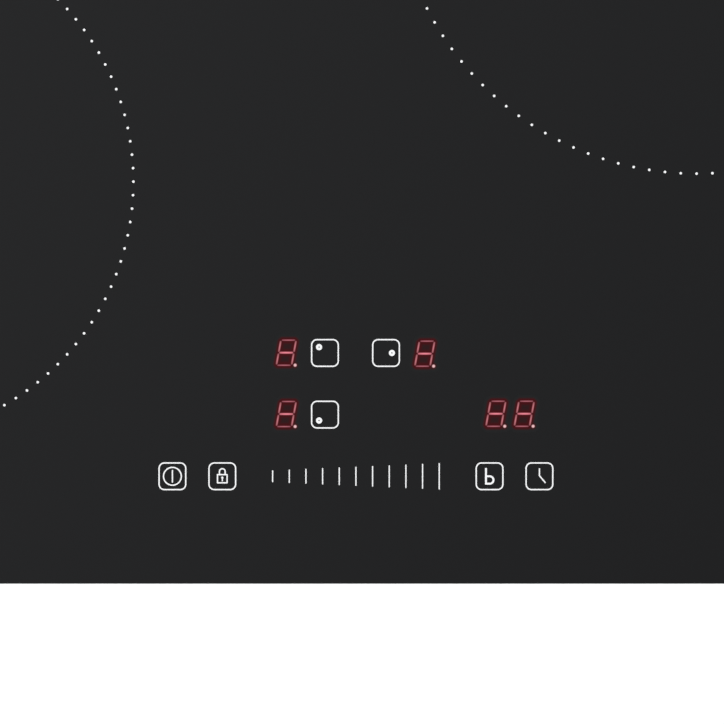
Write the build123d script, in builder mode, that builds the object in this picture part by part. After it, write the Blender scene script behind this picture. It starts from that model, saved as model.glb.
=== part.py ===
from build123d import *

import os
from math import radians, sqrt, tan

# A built-in electric induction hob: three cooking zones under one sheet of black glass,
# with a touch slider and red digits at the front.
# Millimetres. +Z is up out of the glass, +Y is to the back and +X is to the right.
# The origin is under the middle of the hob, on the plane that its pressed feet stand on.

os.makedirs("parts", exist_ok=True)


def save(builder, label):
    """Labels a finished piece and writes it as one STEP file."""
    builder.part.label = label
    export_step(builder.part, f"parts/{label}.step")


# ======================================================================
# Driving dimensions
# ======================================================================

# Glass and case
glass_width, glass_depth, glass_thickness = 590.0, 520.0, 4.0
glass_corner, glass_arris, glass_under_arris = 8.0, 0.4, 0.4
case_width, case_depth, case_corner = 556.0, 486.0, 8.0
sheet = 1.0  # steel of the case
case_bend = 2.5  # outer radius where the floor turns up into the walls
foot_drop = 3.0  # how far the pressed feet stand below the floor
case_top = 54.0
glass_bottom = 55.0
glass_top = glass_bottom + glass_thickness
floor_bottom = foot_drop
floor_top = floor_bottom + sheet
wall_x, wall_y = case_width / 2, case_depth / 2  # outer faces of the walls
foot_x, foot_y, foot_radius, foot_slope = 225.0, 195.0, 18.0, 25.0

# Cooking zones: centre and radius of the printed ring
ring_dots, ring_dot_radius = 120, 0.45
zones = {
    "front_left": (-167.6, -119.7, 90.0),
    "rear_left": (-167.6, 118.0, 80.0),
    "right": (118.8, -11.4, 105.5),
}

# Printed controls
print_thickness = 0.05
key_size, key_corner, key_line = 9.75, 2.1, 0.46
key_hollow = key_size - 2 * key_line
zone_dot_radius, zone_dot_eye, zone_dot_shift = 1.08, 0.25, 2.05
symbol_line = 0.45
row_pitch = 21.5
power_row = -222.45  # y of the front row of keys
timer_row = power_row + row_pitch
zone_row = timer_row + row_pitch
outer_key_x, inner_key_x, zone_key_x = 64.0, 46.6, 10.65
middle_x = -0.15  # the zone keys and their digits stand a touch left of the slider's middle
slider_pitch, slider_marks, slider_line = 5.81, 11, 0.41
shortest_mark, longest_mark = 4.2, 9.2
key_places = [
    (-outer_key_x, power_row),
    (-inner_key_x, power_row),
    (inner_key_x, power_row),
    (outer_key_x, power_row),
    (middle_x - zone_key_x, zone_row),
    (middle_x + zone_key_x, zone_row),
    (middle_x - zone_key_x, timer_row),
]

# Digits
digit_x, timer_x, timer_pitch = 24.15, 53.75, 9.9
# The displays are soldered by hand, so each stands a little above or below its keys.
rear_digit_y, right_digit_y = zone_row + 0.1, zone_row - 0.25
front_digit_y, timer_digit_y = timer_row + 0.2, timer_row + 0.3
single_digits = [
    (middle_x - digit_x, rear_digit_y),
    (middle_x + digit_x, right_digit_y),
    (middle_x - digit_x, front_digit_y),
]
timer_digits = [(timer_x + side * timer_pitch / 2, timer_digit_y) for side in (-1, 1)]
digit_width, digit_height, digit_slant = 5.3, 8.75, 10.0  # between the middles of the segments
segment_width, segment_gap, segment_thickness = 0.6, 0.45, 0.3
point_radius, point_x, point_y = 0.6, 3.1, -4.35
display_width, display_depth, display_top = 9.8, 13.0, 54.5

# Seal, adhesive and rails
seal_thickness, seal_inset, seal_width = 2.0, 2.0, 10.0
adhesive_thickness, adhesive_inset, adhesive_width = 0.8, 2.0, 6.0
rail_flat, rail_bottom = 12.0, 38.0
side_rail_half, cross_rail_half = 234.0, 264.0

# Heights inside the case
plate_bottom, plate_thickness = 40.5, 1.5
plate_top = plate_bottom + plate_thickness
ferrite_height = 4.0
winding_bottom, winding_height = plate_top + 6.0, 4.0
winding_top = winding_bottom + winding_height
mica_thickness = 0.5
board_bottom, board_thickness = floor_top + 8.0, 1.6
board_top = board_bottom + board_thickness
touch_board_bottom = 46.0
touch_board_top = touch_board_bottom + board_thickness

# Coils
coil_margin = 8.0  # how much smaller the winding is than the printed ring
winding_inner, turn_pitch = 20.0, 3.1
former_margin, ferrite_inner, ferrite_width, ferrite_gap = 2.0, 24.0, 12.0, 0.3
spokes = 8
first_bar = 180 / spokes  # the bars stand half a step round from the windows
sensor_cap, sensor_cap_height, sensor_stem, sensor_bore = 4.0, 1.5, 2.5, 1.6
stem_gap, sensor_boss, sensor_boss_top = 0.1, 6.0, 50.0
sensor_hole = 6.0  # in the plate and the mica
spring_radius, spring_wire, spring_turns = 3.3, 0.25, 3

# Boards: centre x, centre y, width, depth
boards = {
    "power_board_left": (-156.0, 40.0, 204.0, 230.0),
    "power_board_right": (175.0, 20.0, 150.0, 230.0),
    "filter_board": (10.0, 120.0, 90.0, 120.0),
}
board_inset, board_corner = 5.0, 2.0  # the screws stand board_inset in from a board's edges
touch_board_y, touch_board_width, touch_board_depth = -203.0, 152.0, 62.0

# Fans
fans = {"left": (-165.0, -150.0), "right": (165.0, -150.0)}
fan_size, fan_height, fan_bore, fan_corner = 80.0, 20.0, 38.5, 5.0
fan_hole_pitch = 71.5
blade_tip, hub_radius, hub_wall, blades = 36.8, 17.0, 1.6, 7
shaft_radius, shaft_clearance = 1.5, 0.05
grille_radius, grille_slots, grille_slot, grille_pitch = 37.0, 9, 4.0, 8.4

# Terminal box in the rear wall
box_left, box_right, box_top, box_front = 150.0, 228.0, 38.0, 202.0
box_wall = 2.0
gland_x, gland_z, cord_radius, gland_radius, gland_gap = 165.0, 22.0, 6.5, 8.5, 0.1
flange_radius, flange_thickness, neck_length, nut_radius, nut_height = 11.5, 3.0, 9.0, 12.0, 4.0
window_left, window_right, window_low, window_high, window_corner = 180.0, 224.0, 10.0, 34.0, 2.0
pole_x = [188.0, 202.0, 216.0]
wire_z = 18.0
entry_radius, entry_depth, entry_z = 2.2, 10.0, 15.0  # where a supply wire enters its pole
well_width, well_length, well_depth = 9.0, 10.0, 3.0

# Worktop brackets on the side walls
bracket_y, bracket_width, bracket_thickness = 110.0, 24.0, 1.5
bracket_low, bracket_high, bracket_reach, bracket_corner = 0.6, 15.0, 14.0, 3.0
bracket_screw_z, bracket_travel = 9.0, 4.0

# Screws
m3_shank, m3_hole, m3_head, m3_head_height = 1.25, 1.6, 2.8, 1.8
m4_shank, m4_slot, m4_head, m4_head_height = 1.9, 2.1, 3.5, 1.8
screw_gap = 0.05  # between a screw and the thread that it is driven into
recess_length, recess_width, recess_depth = 3.0, 0.7, 0.9
tray_screw, board_screw, plate_screw, fan_screw, bracket_screw = 7.0, 7.0, 10.0, 16.0, 6.0  # lengths


def screw(plane, shank, length, head, head_height):
    """A cross-head screw on the piece being built. The plane is under its head and points out of it."""
    with BuildSketch(plane) as shank_outline:
        Circle(shank)
    extrude(shank_outline.sketch, amount=-length)
    with BuildSketch(plane) as head_outline:
        Circle(head)
    extrude(head_outline.sketch, amount=head_height)
    with BuildSketch(plane.offset(head_height)) as recess:
        Rectangle(recess_length, recess_width)
        Rectangle(recess_width, recess_length)
    extrude(recess.sketch, amount=-recess_depth, mode=Mode.SUBTRACT)


def wire(points, radii, radius):
    """A wire on the piece being built: straight runs joined by tangent arcs."""
    with BuildLine() as route:
        if len(points) > 2:
            FilletPolyline(*points, radius=radii)
        else:
            Line(*points)
    with BuildSketch(Plane(route.line @ 0, z_dir=route.line % 0)) as section:
        Circle(radius)
    sweep(section.sketch, path=route.line)


# ======================================================================
# Glass and its print
# ======================================================================

with BuildPart() as glass_plate:
    with BuildSketch(Plane.XY.offset(glass_bottom)):
        RectangleRounded(glass_width, glass_depth, glass_corner)
    extrude(amount=glass_thickness)
    fillet(glass_plate.faces().sort_by(Axis.Z)[-1].edges(), glass_arris)
    chamfer(glass_plate.faces().sort_by(Axis.Z)[0].edges(), glass_under_arris)
save(glass_plate, "glass_plate")

# The rings are dots of white enamel, one every three degrees.
with BuildPart() as zone_print:
    with BuildSketch(Plane.XY.offset(glass_top)):
        for zone_x, zone_y, ring_radius in zones.values():
            with Locations((zone_x, zone_y)):
                with PolarLocations(ring_radius, ring_dots):
                    Circle(ring_dot_radius)
    extrude(amount=print_thickness)
save(zone_print, "zone_print")


def zone_dots():
    """A dot in each zone key, standing where its zone is."""
    with Locations(
        (middle_x - zone_key_x - zone_dot_shift, zone_row + zone_dot_shift),
        (middle_x + zone_key_x + zone_dot_shift, zone_row),
        (middle_x - zone_key_x - zone_dot_shift, timer_row - zone_dot_shift),
    ):
        Circle(zone_dot_radius)
        Circle(zone_dot_eye, mode=Mode.SUBTRACT)


def power_symbol(x, y):
    """A bar in a circle."""
    outer, bar = 3.34, 4.5
    with Locations((x, y)):
        Circle(outer)
        Circle(outer - symbol_line, mode=Mode.SUBTRACT)
        SlotOverall(bar, symbol_line, rotation=90)


def lock_symbol(x, y):
    """A padlock: a shackle over a hollow body with a keyhole."""
    shackle, shackle_y, shackle_leg = 1.22, 1.65, 1.1
    body_width, body_height, body_y = 3.8, 3.3, -0.85
    keyhole, keyhole_y, keyhole_slot = 0.4, -0.5, 1.3
    hollow = shackle - symbol_line
    with Locations((x, y + shackle_y)):
        Circle(shackle)
        Circle(hollow, mode=Mode.SUBTRACT)
    for side in (-1, 1):
        with Locations((x + side * (shackle + hollow) / 2, y + shackle_y - shackle_leg / 2)):
            Rectangle(shackle - hollow, shackle_leg)
    with Locations((x, y + shackle_y - shackle_leg / 2)):
        Rectangle(2 * hollow, shackle_leg, mode=Mode.SUBTRACT)
    with Locations((x, y + body_y)):
        RectangleRounded(body_width, body_height, symbol_line / 2)
        Rectangle(body_width - 2 * symbol_line, body_height - 2 * symbol_line, mode=Mode.SUBTRACT)
    with Locations((x, y + keyhole_y)):
        Circle(keyhole)
    with Locations((x, y + keyhole_y - keyhole_slot / 2)):
        Rectangle(keyhole, keyhole_slot)


def boost_symbol(x, y):
    """A stem with a round bowl at its foot."""
    stem_left, stem_top, weight = -1.58, 2.9, 0.66
    bowl, bowl_x, bowl_y = 1.62, 0.08, -1.3
    with Locations((x + bowl_x, y + bowl_y)):
        Circle(bowl)
    with Locations((x + (stem_left + bowl_x) / 2, y + bowl_y)):
        Rectangle(bowl_x - stem_left, 2 * bowl)
    with Locations((x + bowl_x, y + bowl_y)):
        Circle(bowl - weight, mode=Mode.SUBTRACT)
    with Locations((x + (stem_left + weight + bowl_x) / 2, y + bowl_y)):
        Rectangle(bowl_x - stem_left - weight, 2 * (bowl - weight), mode=Mode.SUBTRACT)
    with Locations((x + stem_left + weight / 2, y + (stem_top + bowl_y) / 2)):
        Rectangle(weight, stem_top - bowl_y)


def timer_symbol(x, y):
    """The two hands of a clock."""
    tip, middle, hand_x, hand_y = 2.75, 0.2, 2.1, -2.3
    with BuildLine() as hands:
        Polyline((x, y + tip), (x, y + middle), (x + hand_x, y + hand_y))
    trace(hands.line, symbol_line)


with BuildPart() as control_print:
    with BuildSketch(Plane.XY.offset(glass_top)):
        with Locations(*key_places):
            RectangleRounded(key_size, key_size, key_corner)
            RectangleRounded(key_hollow, key_hollow, key_corner - key_line, mode=Mode.SUBTRACT)
        zone_dots()
        power_symbol(-outer_key_x, power_row)
        lock_symbol(-inner_key_x, power_row)
        boost_symbol(inner_key_x, power_row)
        timer_symbol(outer_key_x, power_row)
        # The slider's marks grow evenly from left to right.
        for mark in range(slider_marks):
            growth = (longest_mark - shortest_mark) * mark / (slider_marks - 1)
            with Locations(((mark - (slider_marks - 1) / 2) * slider_pitch, power_row)):
                SlotOverall(shortest_mark + growth, slider_line, rotation=90)
    extrude(amount=print_thickness)
save(control_print, "control_print")


# ======================================================================
# Seal, adhesive and the rails under the glass
# ======================================================================

# A foam strip, on which the glass lies in its worktop.
with BuildPart() as worktop_seal:
    seal_width_out, seal_depth_out = glass_width - 2 * seal_inset, glass_depth - 2 * seal_inset
    with BuildSketch(Plane.XY.offset(glass_bottom - seal_thickness)):
        RectangleRounded(seal_width_out, seal_depth_out, glass_corner - seal_inset)
        Rectangle(seal_width_out - 2 * seal_width, seal_depth_out - 2 * seal_width, mode=Mode.SUBTRACT)
    extrude(amount=seal_thickness)
save(worktop_seal, "worktop_seal")

# Four steel angles are bonded under the glass, and the case is screwed to them.
rail_x, rail_y = wall_x - sheet, wall_y - sheet
rail_flat_bottom = glass_bottom - adhesive_thickness - sheet
rail_screw_z = 47.0
side_screws = [-180.0, 0.0, 180.0]
cross_screws = [-240.0, 0.0, 240.0]


wall_planes = {
    "left": Plane((-rail_x, 0, 0), x_dir=(0, 1, 0), z_dir=(1, 0, 0)),
    "right": Plane((rail_x, 0, 0), x_dir=(0, -1, 0), z_dir=(-1, 0, 0)),
    "front": Plane((0, -rail_y, 0), x_dir=(-1, 0, 0), z_dir=(0, 1, 0)),
    "rear": Plane((0, rail_y, 0), x_dir=(1, 0, 0), z_dir=(0, -1, 0)),
}


def rails(label, walls, half_length, screw_places):
    """An angle along each wall. A wall's plane has its X along the wall, and its Z points into the case."""
    with BuildPart() as angles:
        for wall in walls:
            with BuildSketch(wall_planes[wall]):
                with Locations((0, rail_bottom)):
                    leg_height = rail_flat_bottom - rail_bottom
                    Rectangle(2 * half_length, leg_height, align=(Align.CENTER, Align.MIN))
                with Locations(*[(place, rail_screw_z) for place in screw_places]):
                    Circle(m3_shank + screw_gap, mode=Mode.SUBTRACT)
            extrude(amount=sheet)
            with BuildSketch(wall_planes[wall]):
                with Locations((0, rail_flat_bottom)):
                    Rectangle(2 * half_length, sheet, align=(Align.CENTER, Align.MIN))
            extrude(amount=rail_flat)
    save(angles, label)


rails("side_rails", ["left", "right"], side_rail_half, side_screws)
rails("cross_rails", ["front", "rear"], cross_rail_half, cross_screws)

with BuildPart() as glass_adhesive:
    bead_width, bead_depth = 2 * (rail_x - adhesive_inset), 2 * (rail_y - adhesive_inset)
    with BuildSketch(Plane.XY.offset(rail_flat_bottom + sheet)):
        Rectangle(bead_width, bead_depth)
        Rectangle(bead_width - 2 * adhesive_width, bead_depth - 2 * adhesive_width, mode=Mode.SUBTRACT)
    extrude(amount=adhesive_thickness)
save(glass_adhesive, "glass_adhesive")


# ======================================================================
# Case
# ======================================================================

feet = [(x * foot_x, y * foot_y) for x in (-1, 1) for y in (-1, 1)]
fan_holes = [
    (fan_x + side * fan_hole_pitch / 2, fan_y + end * fan_hole_pitch / 2)
    for fan_x, fan_y in fans.values()
    for side in (-1, 1)
    for end in (-1, 1)
]
# Pressed beads stiffen the floor: centre, length and turn.
floor_beads = [((-30.0, 222.0), 320.0, 0), ((0.0, -60.0), 160.0, 0), ((78.0, 50.0), 160.0, 90)]
bead_height, bead_top_width = 1.4, 10.0
floor_vents = [(-80.0, 190.0), (100.0, 200.0)]
vent_width, vent_length, vent_pitch = 3.6, 18.0, 8.0
floor_vent_slots, floor_vent_length = 10, 27.0
wall_vent_slots, wall_vents, vent_z = 16, [-166.0, 0.0], 22.0
hinge_y, hinge_z, hinge_pin, hinge_gap = wall_y + 3.2, 7.2, 1.0, 0.1
hinge_left, hinge_right, lug, lug_radius = 176.5, 227.5, 1.2, 2.5

with BuildPart() as base_tray:
    with BuildSketch(Plane.XY.offset(floor_bottom)):
        RectangleRounded(case_width, case_depth, case_corner)
    extrude(amount=case_top - floor_bottom)
    fillet(base_tray.faces().sort_by(Axis.Z)[0].edges(), case_bend)
    offset(amount=-sheet, openings=base_tray.faces().sort_by(Axis.Z)[-1])
    # Feet, pressed down out of the floor
    with BuildSketch(Plane.XY.offset(floor_bottom)):
        with Locations(*feet):
            Circle(foot_radius)
    extrude(amount=-foot_drop, taper=foot_slope)
    with BuildSketch(Plane.XY.offset(floor_top)):
        with Locations(*feet):
            Circle(foot_radius - sheet / 2)
    extrude(amount=-foot_drop, taper=foot_slope, mode=Mode.SUBTRACT)
    # Beads, pressed up
    with BuildSketch(Plane.XY.offset(floor_top)):
        for place, length, turn in floor_beads:
            with Locations(place):
                SlotOverall(length, bead_top_width, rotation=turn)
    extrude(amount=bead_height)
    with BuildSketch(Plane.XY.offset(floor_bottom)):
        for place, length, turn in floor_beads:
            with Locations(place):
                SlotOverall(length - 2 * sheet, bead_top_width - 2 * sheet, rotation=turn)
    extrude(amount=bead_height, mode=Mode.SUBTRACT)
    # Air: a grille under each fan, and slots in the floor and the walls
    with BuildSketch(Plane.XY.offset(floor_bottom)):
        for fan_place in fans.values():
            for slot in range(grille_slots):
                step = slot - (grille_slots - 1) / 2
                chord = 2 * sqrt(grille_radius**2 - (step * grille_pitch) ** 2)
                with Locations((fan_place[0] + step * grille_pitch, fan_place[1])):
                    SlotOverall(chord, grille_slot, rotation=90)
        with Locations(*fan_holes):
            Circle(m3_hole)
        with Locations(*floor_vents):
            with GridLocations(vent_pitch, 0, floor_vent_slots, 1):
                SlotOverall(floor_vent_length, vent_width, rotation=90)
    extrude(amount=sheet, mode=Mode.SUBTRACT)
    with BuildSketch(Plane.XZ):
        with Locations(*[(place, vent_z) for place in wall_vents]):
            with GridLocations(vent_pitch, 0, wall_vent_slots, 1):
                SlotOverall(vent_length, vent_width, rotation=90)
        with Locations(*[(place, rail_screw_z) for place in cross_screws]):
            Circle(m3_hole)
    extrude(amount=case_depth, both=True, mode=Mode.SUBTRACT)
    with BuildSketch(Plane.YZ):
        with Locations(*[(place, rail_screw_z) for place in side_screws]):
            Circle(m3_hole)
        with Locations((-bracket_y, bracket_screw_z), (bracket_y, bracket_screw_z)):
            Circle(m4_shank + screw_gap)
    extrude(amount=case_width, both=True, mode=Mode.SUBTRACT)
    # Cord hole, and the window that the terminal cover closes
    with BuildSketch(Plane.XZ.offset(-wall_y)):
        with Locations((gland_x, gland_z)):
            Circle(gland_radius + gland_gap)
        with Locations(((window_left + window_right) / 2, (window_low + window_high) / 2)):
            RectangleRounded(window_right - window_left, window_high - window_low, window_corner)
    extrude(amount=2 * sheet, mode=Mode.SUBTRACT)
    # Lugs for the cover's hinge
    for lug_x in (hinge_left - lug, hinge_right):
        with BuildSketch(Plane.YZ.offset(lug_x)):
            with Locations((wall_y - sheet / 2, hinge_z)):
                Rectangle(hinge_y - wall_y + sheet / 2, 2 * lug_radius, align=(Align.MIN, Align.CENTER))
            with Locations((hinge_y, hinge_z)):
                Circle(lug_radius)
                Circle(hinge_pin + hinge_gap, mode=Mode.SUBTRACT)
        extrude(amount=lug)
save(base_tray, "base_tray")

with BuildPart() as tray_screws:
    for place in side_screws:
        for side in (-1, 1):
            head_plane = Plane((side * wall_x, place, rail_screw_z), x_dir=(0, 1, 0), z_dir=(side, 0, 0))
            screw(head_plane, m3_shank, tray_screw, m3_head, m3_head_height)
    for place in cross_screws:
        for side in (-1, 1):
            head_plane = Plane((place, side * wall_y, rail_screw_z), x_dir=(1, 0, 0), z_dir=(0, side, 0))
            screw(head_plane, m3_shank, tray_screw, m3_head, m3_head_height)
save(tray_screws, "tray_screws")


# ======================================================================
# Coils and the plate that carries them
# ======================================================================

plate_width, plate_depth, plate_corner = 540.0, 472.0, 6.0
plate_posts_at = [(-45, -130), (-45, 20), (75, -150), (90, 160)]
plate_posts_at += [(x * 262, y * 225) for x in (-1, 1) for y in (-1, 1)]
board_post, plate_post = 3.5, 4.0  # from the middle to a corner of the hexagon
lead_pitch, lead_radius, lead_reach, lead_slot = 12.0, 1.5, 12.0, 8.0
lead_bite = 0.1  # how far a lead's end runs into the winding
ribbon_x, ribbon_y = -64.0, -182.0
ribbon_width, ribbon_thickness = 12.0, 1.2
ribbon_slot_width, ribbon_slot_depth = 16.0, 8.0


def winding_radius(zone):
    """The outer radius of a zone's winding."""
    return zones[zone][2] - coil_margin


def lead_route(zone, side):
    """A coil lead's way: out of the winding's edge, over the former's rim and down to its board."""
    x, y, _ = zones[zone]
    reach = winding_radius(zone) - lead_bite
    height = (winding_bottom + winding_top) / 2
    across = side * lead_pitch / 2
    along = {"front_left": (0, 1), "rear_left": (0, -1), "right": (1, 0)}[zone]
    start = (x + along[0] * reach + along[1] * across, y + along[1] * reach + along[0] * across)
    corner = (start[0] + along[0] * lead_reach, start[1] + along[1] * lead_reach)
    return [(*start, height), (*corner, height), (*corner, board_top + terminal_height)]


terminal_size, terminal_height = 8.0, 3.4
lead_routes = [lead_route(zone, side) for zone in zones for side in (-1, 1)]

with BuildPart() as coil_plate:
    with BuildSketch(Plane.XY.offset(plate_bottom)):
        RectangleRounded(plate_width, plate_depth, plate_corner)
        with Locations(*plate_posts_at):
            Circle(m3_hole, mode=Mode.SUBTRACT)
        for zone_x, zone_y, _ in zones.values():
            with Locations((zone_x, zone_y)):
                Circle(sensor_hole, mode=Mode.SUBTRACT)
        for _, corner, _ in lead_routes:
            with Locations(corner[:2]):
                Circle(lead_slot / 2, mode=Mode.SUBTRACT)
        with Locations((ribbon_x, ribbon_y)):
            RectangleRounded(ribbon_slot_width, ribbon_slot_depth, board_corner, mode=Mode.SUBTRACT)
    extrude(amount=plate_thickness)
save(coil_plate, "coil_plate")


def coil_former(zone):
    """A plastic disc with pockets for the ferrite bars below, and a boss for the sensor above."""
    x, y, _ = zones[zone]
    reach = winding_radius(zone)
    bar_length = reach - ferrite_inner
    with BuildPart() as former:
        with BuildSketch(Plane.XY.offset(plate_top)):
            with Locations((x, y)):
                Circle(reach + former_margin)
                Circle(sensor_stem + stem_gap, mode=Mode.SUBTRACT)
        extrude(amount=winding_bottom - plate_top)
        with BuildSketch(Plane.XY.offset(plate_top)):
            with Locations((x, y)):
                with PolarLocations(ferrite_inner + bar_length / 2, spokes, start_angle=first_bar):
                    Rectangle(bar_length + ferrite_gap, ferrite_width + ferrite_gap)
        extrude(amount=ferrite_height + ferrite_gap, mode=Mode.SUBTRACT)
        # Windows between the bars let the cooling air through
        window_middle, window_length, window_width = 0.72 * reach, 0.4 * reach, 0.16 * reach
        with BuildSketch(Plane.XY.offset(plate_top)):
            with Locations((x, y)):
                with PolarLocations(window_middle, spokes):
                    SlotOverall(window_length, window_width)
        extrude(amount=winding_bottom - plate_top, mode=Mode.SUBTRACT)
        with BuildSketch(Plane.XY.offset(winding_bottom)):
            with Locations((x, y)):
                Circle(sensor_boss)
                Circle(sensor_stem + stem_gap, mode=Mode.SUBTRACT)
        extrude(amount=sensor_boss_top - winding_bottom)
    save(former, f"coil_former_{zone}")


def coil_winding(zone):
    """Flat turns of litz wire, side by side: a ring with one round ridge for each turn."""
    x, y, _ = zones[zone]
    reach = winding_radius(zone)
    turns = round((reach - winding_inner) / turn_pitch)
    pitch = (reach - winding_inner) / turns
    shoulder = winding_top - pitch / 3
    with BuildPart() as winding:
        with BuildSketch(Plane((x, y, 0), x_dir=(1, 0, 0), z_dir=(0, -1, 0))):
            with BuildLine():
                for turn in range(turns):
                    inner = winding_inner + turn * pitch
                    ridge = (inner + pitch / 2, winding_top)
                    ThreePointArc((inner, shoulder), ridge, (inner + pitch, shoulder))
                Polyline(
                    (reach, shoulder),
                    (reach, winding_bottom),
                    (winding_inner, winding_bottom),
                    (winding_inner, shoulder),
                )
            make_face()
        revolve(axis=Axis((x, y, 0), (0, 0, 1)))
    save(winding, f"coil_winding_{zone}")


def temperature_sensor(zone):
    """A cap that is pushed up against the glass, on a hollow stem that slides in the former."""
    x, y, _ = zones[zone]
    cap_bottom = glass_bottom - sensor_cap_height
    stem_length = 10.5
    with BuildPart() as sensor:
        with BuildSketch(Plane((x, y, cap_bottom))):
            Circle(sensor_cap)
        extrude(amount=sensor_cap_height)
        with BuildSketch(Plane((x, y, cap_bottom))):
            Circle(sensor_stem)
            Circle(sensor_bore, mode=Mode.SUBTRACT)
        extrude(amount=-stem_length)
    save(sensor, f"sensor_{zone}")
    coil_height = cap_bottom - sensor_boss_top - 2 * spring_wire
    with BuildPart() as spring:
        with BuildLine():
            coil_base = (x, y, sensor_boss_top + spring_wire)
            coil = Helix(coil_height / spring_turns, coil_height, spring_radius, center=coil_base)
        with BuildSketch(Plane(coil @ 0, z_dir=coil % 0)):
            Circle(spring_wire)
        sweep()
    save(spring, f"sensor_spring_{zone}")


for zone_name in zones:
    coil_former(zone_name)
    coil_winding(zone_name)
    temperature_sensor(zone_name)

with BuildPart() as ferrite_bars:
    with BuildSketch(Plane.XY.offset(plate_top)):
        for zone_name, (zone_x, zone_y, _) in zones.items():
            bar_length = winding_radius(zone_name) - ferrite_inner
            with Locations((zone_x, zone_y)):
                with PolarLocations(ferrite_inner + bar_length / 2, spokes, start_angle=first_bar):
                    Rectangle(bar_length, ferrite_width)
    extrude(amount=ferrite_height)
save(ferrite_bars, "ferrite_bars")

with BuildPart() as mica_discs:
    with BuildSketch(Plane.XY.offset(winding_top)):
        for zone_name, (zone_x, zone_y, _) in zones.items():
            with Locations((zone_x, zone_y)):
                Circle(winding_radius(zone_name))
                Circle(sensor_hole, mode=Mode.SUBTRACT)
    extrude(amount=mica_thickness)
save(mica_discs, "mica_discs")


# ======================================================================
# Boards
# ======================================================================


def board_corners(board):
    """The places of a board's four screws."""
    x, y, width, depth = boards[board]
    reach_x, reach_y = width / 2 - board_inset, depth / 2 - board_inset
    return [(x + i * reach_x, y + j * reach_y) for i in (-1, 1) for j in (-1, 1)]


screw_places = [place for board in boards for place in board_corners(board)]

for board_name, (board_x, board_y, board_width, board_depth) in boards.items():
    with BuildPart() as board:
        with BuildSketch(Plane.XY.offset(board_bottom)):
            with Locations((board_x, board_y)):
                RectangleRounded(board_width, board_depth, board_corner)
            with Locations(*board_corners(board_name)):
                Circle(m3_hole, mode=Mode.SUBTRACT)
        extrude(amount=board_thickness)
    save(board, board_name)

# Hexagonal posts stand on the floor, short ones under the boards and tall ones under the coil plate.
with BuildPart() as posts:
    short_posts = (screw_places, board_bottom, board_post)
    tall_posts = (plate_posts_at, plate_bottom, plate_post)
    for places, top, size in (short_posts, tall_posts):
        with BuildSketch(Plane.XY.offset(floor_top)):
            with Locations(*places):
                RegularPolygon(size, 6)
                Circle(m3_shank + screw_gap, mode=Mode.SUBTRACT)
        extrude(amount=top - floor_top)
save(posts, "posts")

with BuildPart() as post_screws:
    for place in screw_places:
        screw(Plane((*place, board_top)), m3_shank, board_screw, m3_head, m3_head_height)
    for place in plate_posts_at:
        screw(Plane((*place, plate_top)), m3_shank, plate_screw, m3_head, m3_head_height)
save(post_screws, "post_screws")

# Heat sinks: centre x, centre y, width and number of fins
sink_depth, sink_base, sink_top, fin_thickness = 60.0, 5.0, 34.0, 1.8
heat_sinks = {"left": (-165.0, 110.0, 160.0, 20), "right": (160.0, 70.0, 110.0, 14)}
for side_name, (sink_x, sink_y, sink_width, fins) in heat_sinks.items():
    with BuildPart() as heat_sink:
        with BuildSketch(Plane((sink_x, sink_y, board_top), x_dir=(1, 0, 0), z_dir=(0, -1, 0))):
            Rectangle(sink_width, sink_base, align=(Align.CENTER, Align.MIN))
            with GridLocations((sink_width - fin_thickness) / (fins - 1), 0, fins, 1):
                Rectangle(fin_thickness, sink_top - board_top, align=(Align.CENTER, Align.MIN))
        extrude(amount=sink_depth / 2, both=True)
    save(heat_sink, f"heat_sink_{side_name}")

# Switching transistors stand against the front of each heat sink, on three legs.
transistor_width, transistor_depth, transistor_height = 16.0, 4.6, 19.0
leg, leg_pitch, leg_height = 1.0, 5.4, 3.0
transistors = [(-225, 80), (-195, 80), (-135, 80), (-105, 80), (130, 40), (190, 40)]
with BuildPart() as power_semiconductors:
    with BuildSketch(Plane.XY.offset(board_top + leg_height)):
        with Locations(*[(x, y - transistor_depth / 2) for x, y in transistors]):
            Rectangle(transistor_width, transistor_depth)
    extrude(amount=transistor_height)
    with BuildSketch(Plane.XY.offset(board_top)):
        with Locations(*[(x, y - transistor_depth / 2) for x, y in transistors]):
            with GridLocations(leg_pitch, 0, 3, 1):
                Rectangle(leg, leg / 2)
    extrude(amount=leg_height)
save(power_semiconductors, "power_semiconductors")

capacitor_width, capacitor_depth, capacitor_height = 26.0, 16.0, 22.0
capacitor_corner, capacitor_rim = 1.5, 1.0
capacitors = [(-220, 10), (-220, -30), (-110, 10), (-110, -30), (150, -60), (185, -60), (220, -60), (10, 157)]
with BuildPart() as film_capacitors:
    with BuildSketch(Plane.XY.offset(board_top)):
        with Locations(*capacitors):
            RectangleRounded(capacitor_width, capacitor_depth, capacitor_corner)
    extrude(amount=capacitor_height)
    fillet(film_capacitors.faces().group_by(Axis.Z)[-1].edges(), capacitor_rim)
save(film_capacitors, "film_capacitors")

# Ring chokes lie flat on the filter board and on the right power board.
choke_major, choke_minor = 12.0, 5.0
with BuildPart() as filter_chokes:
    with Locations(*[(x, y, board_top + choke_minor) for x, y in [(0, 85), (0, 126), (190, -20)]]):
        Torus(choke_major, choke_minor)
save(filter_chokes, "filter_chokes")

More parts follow.
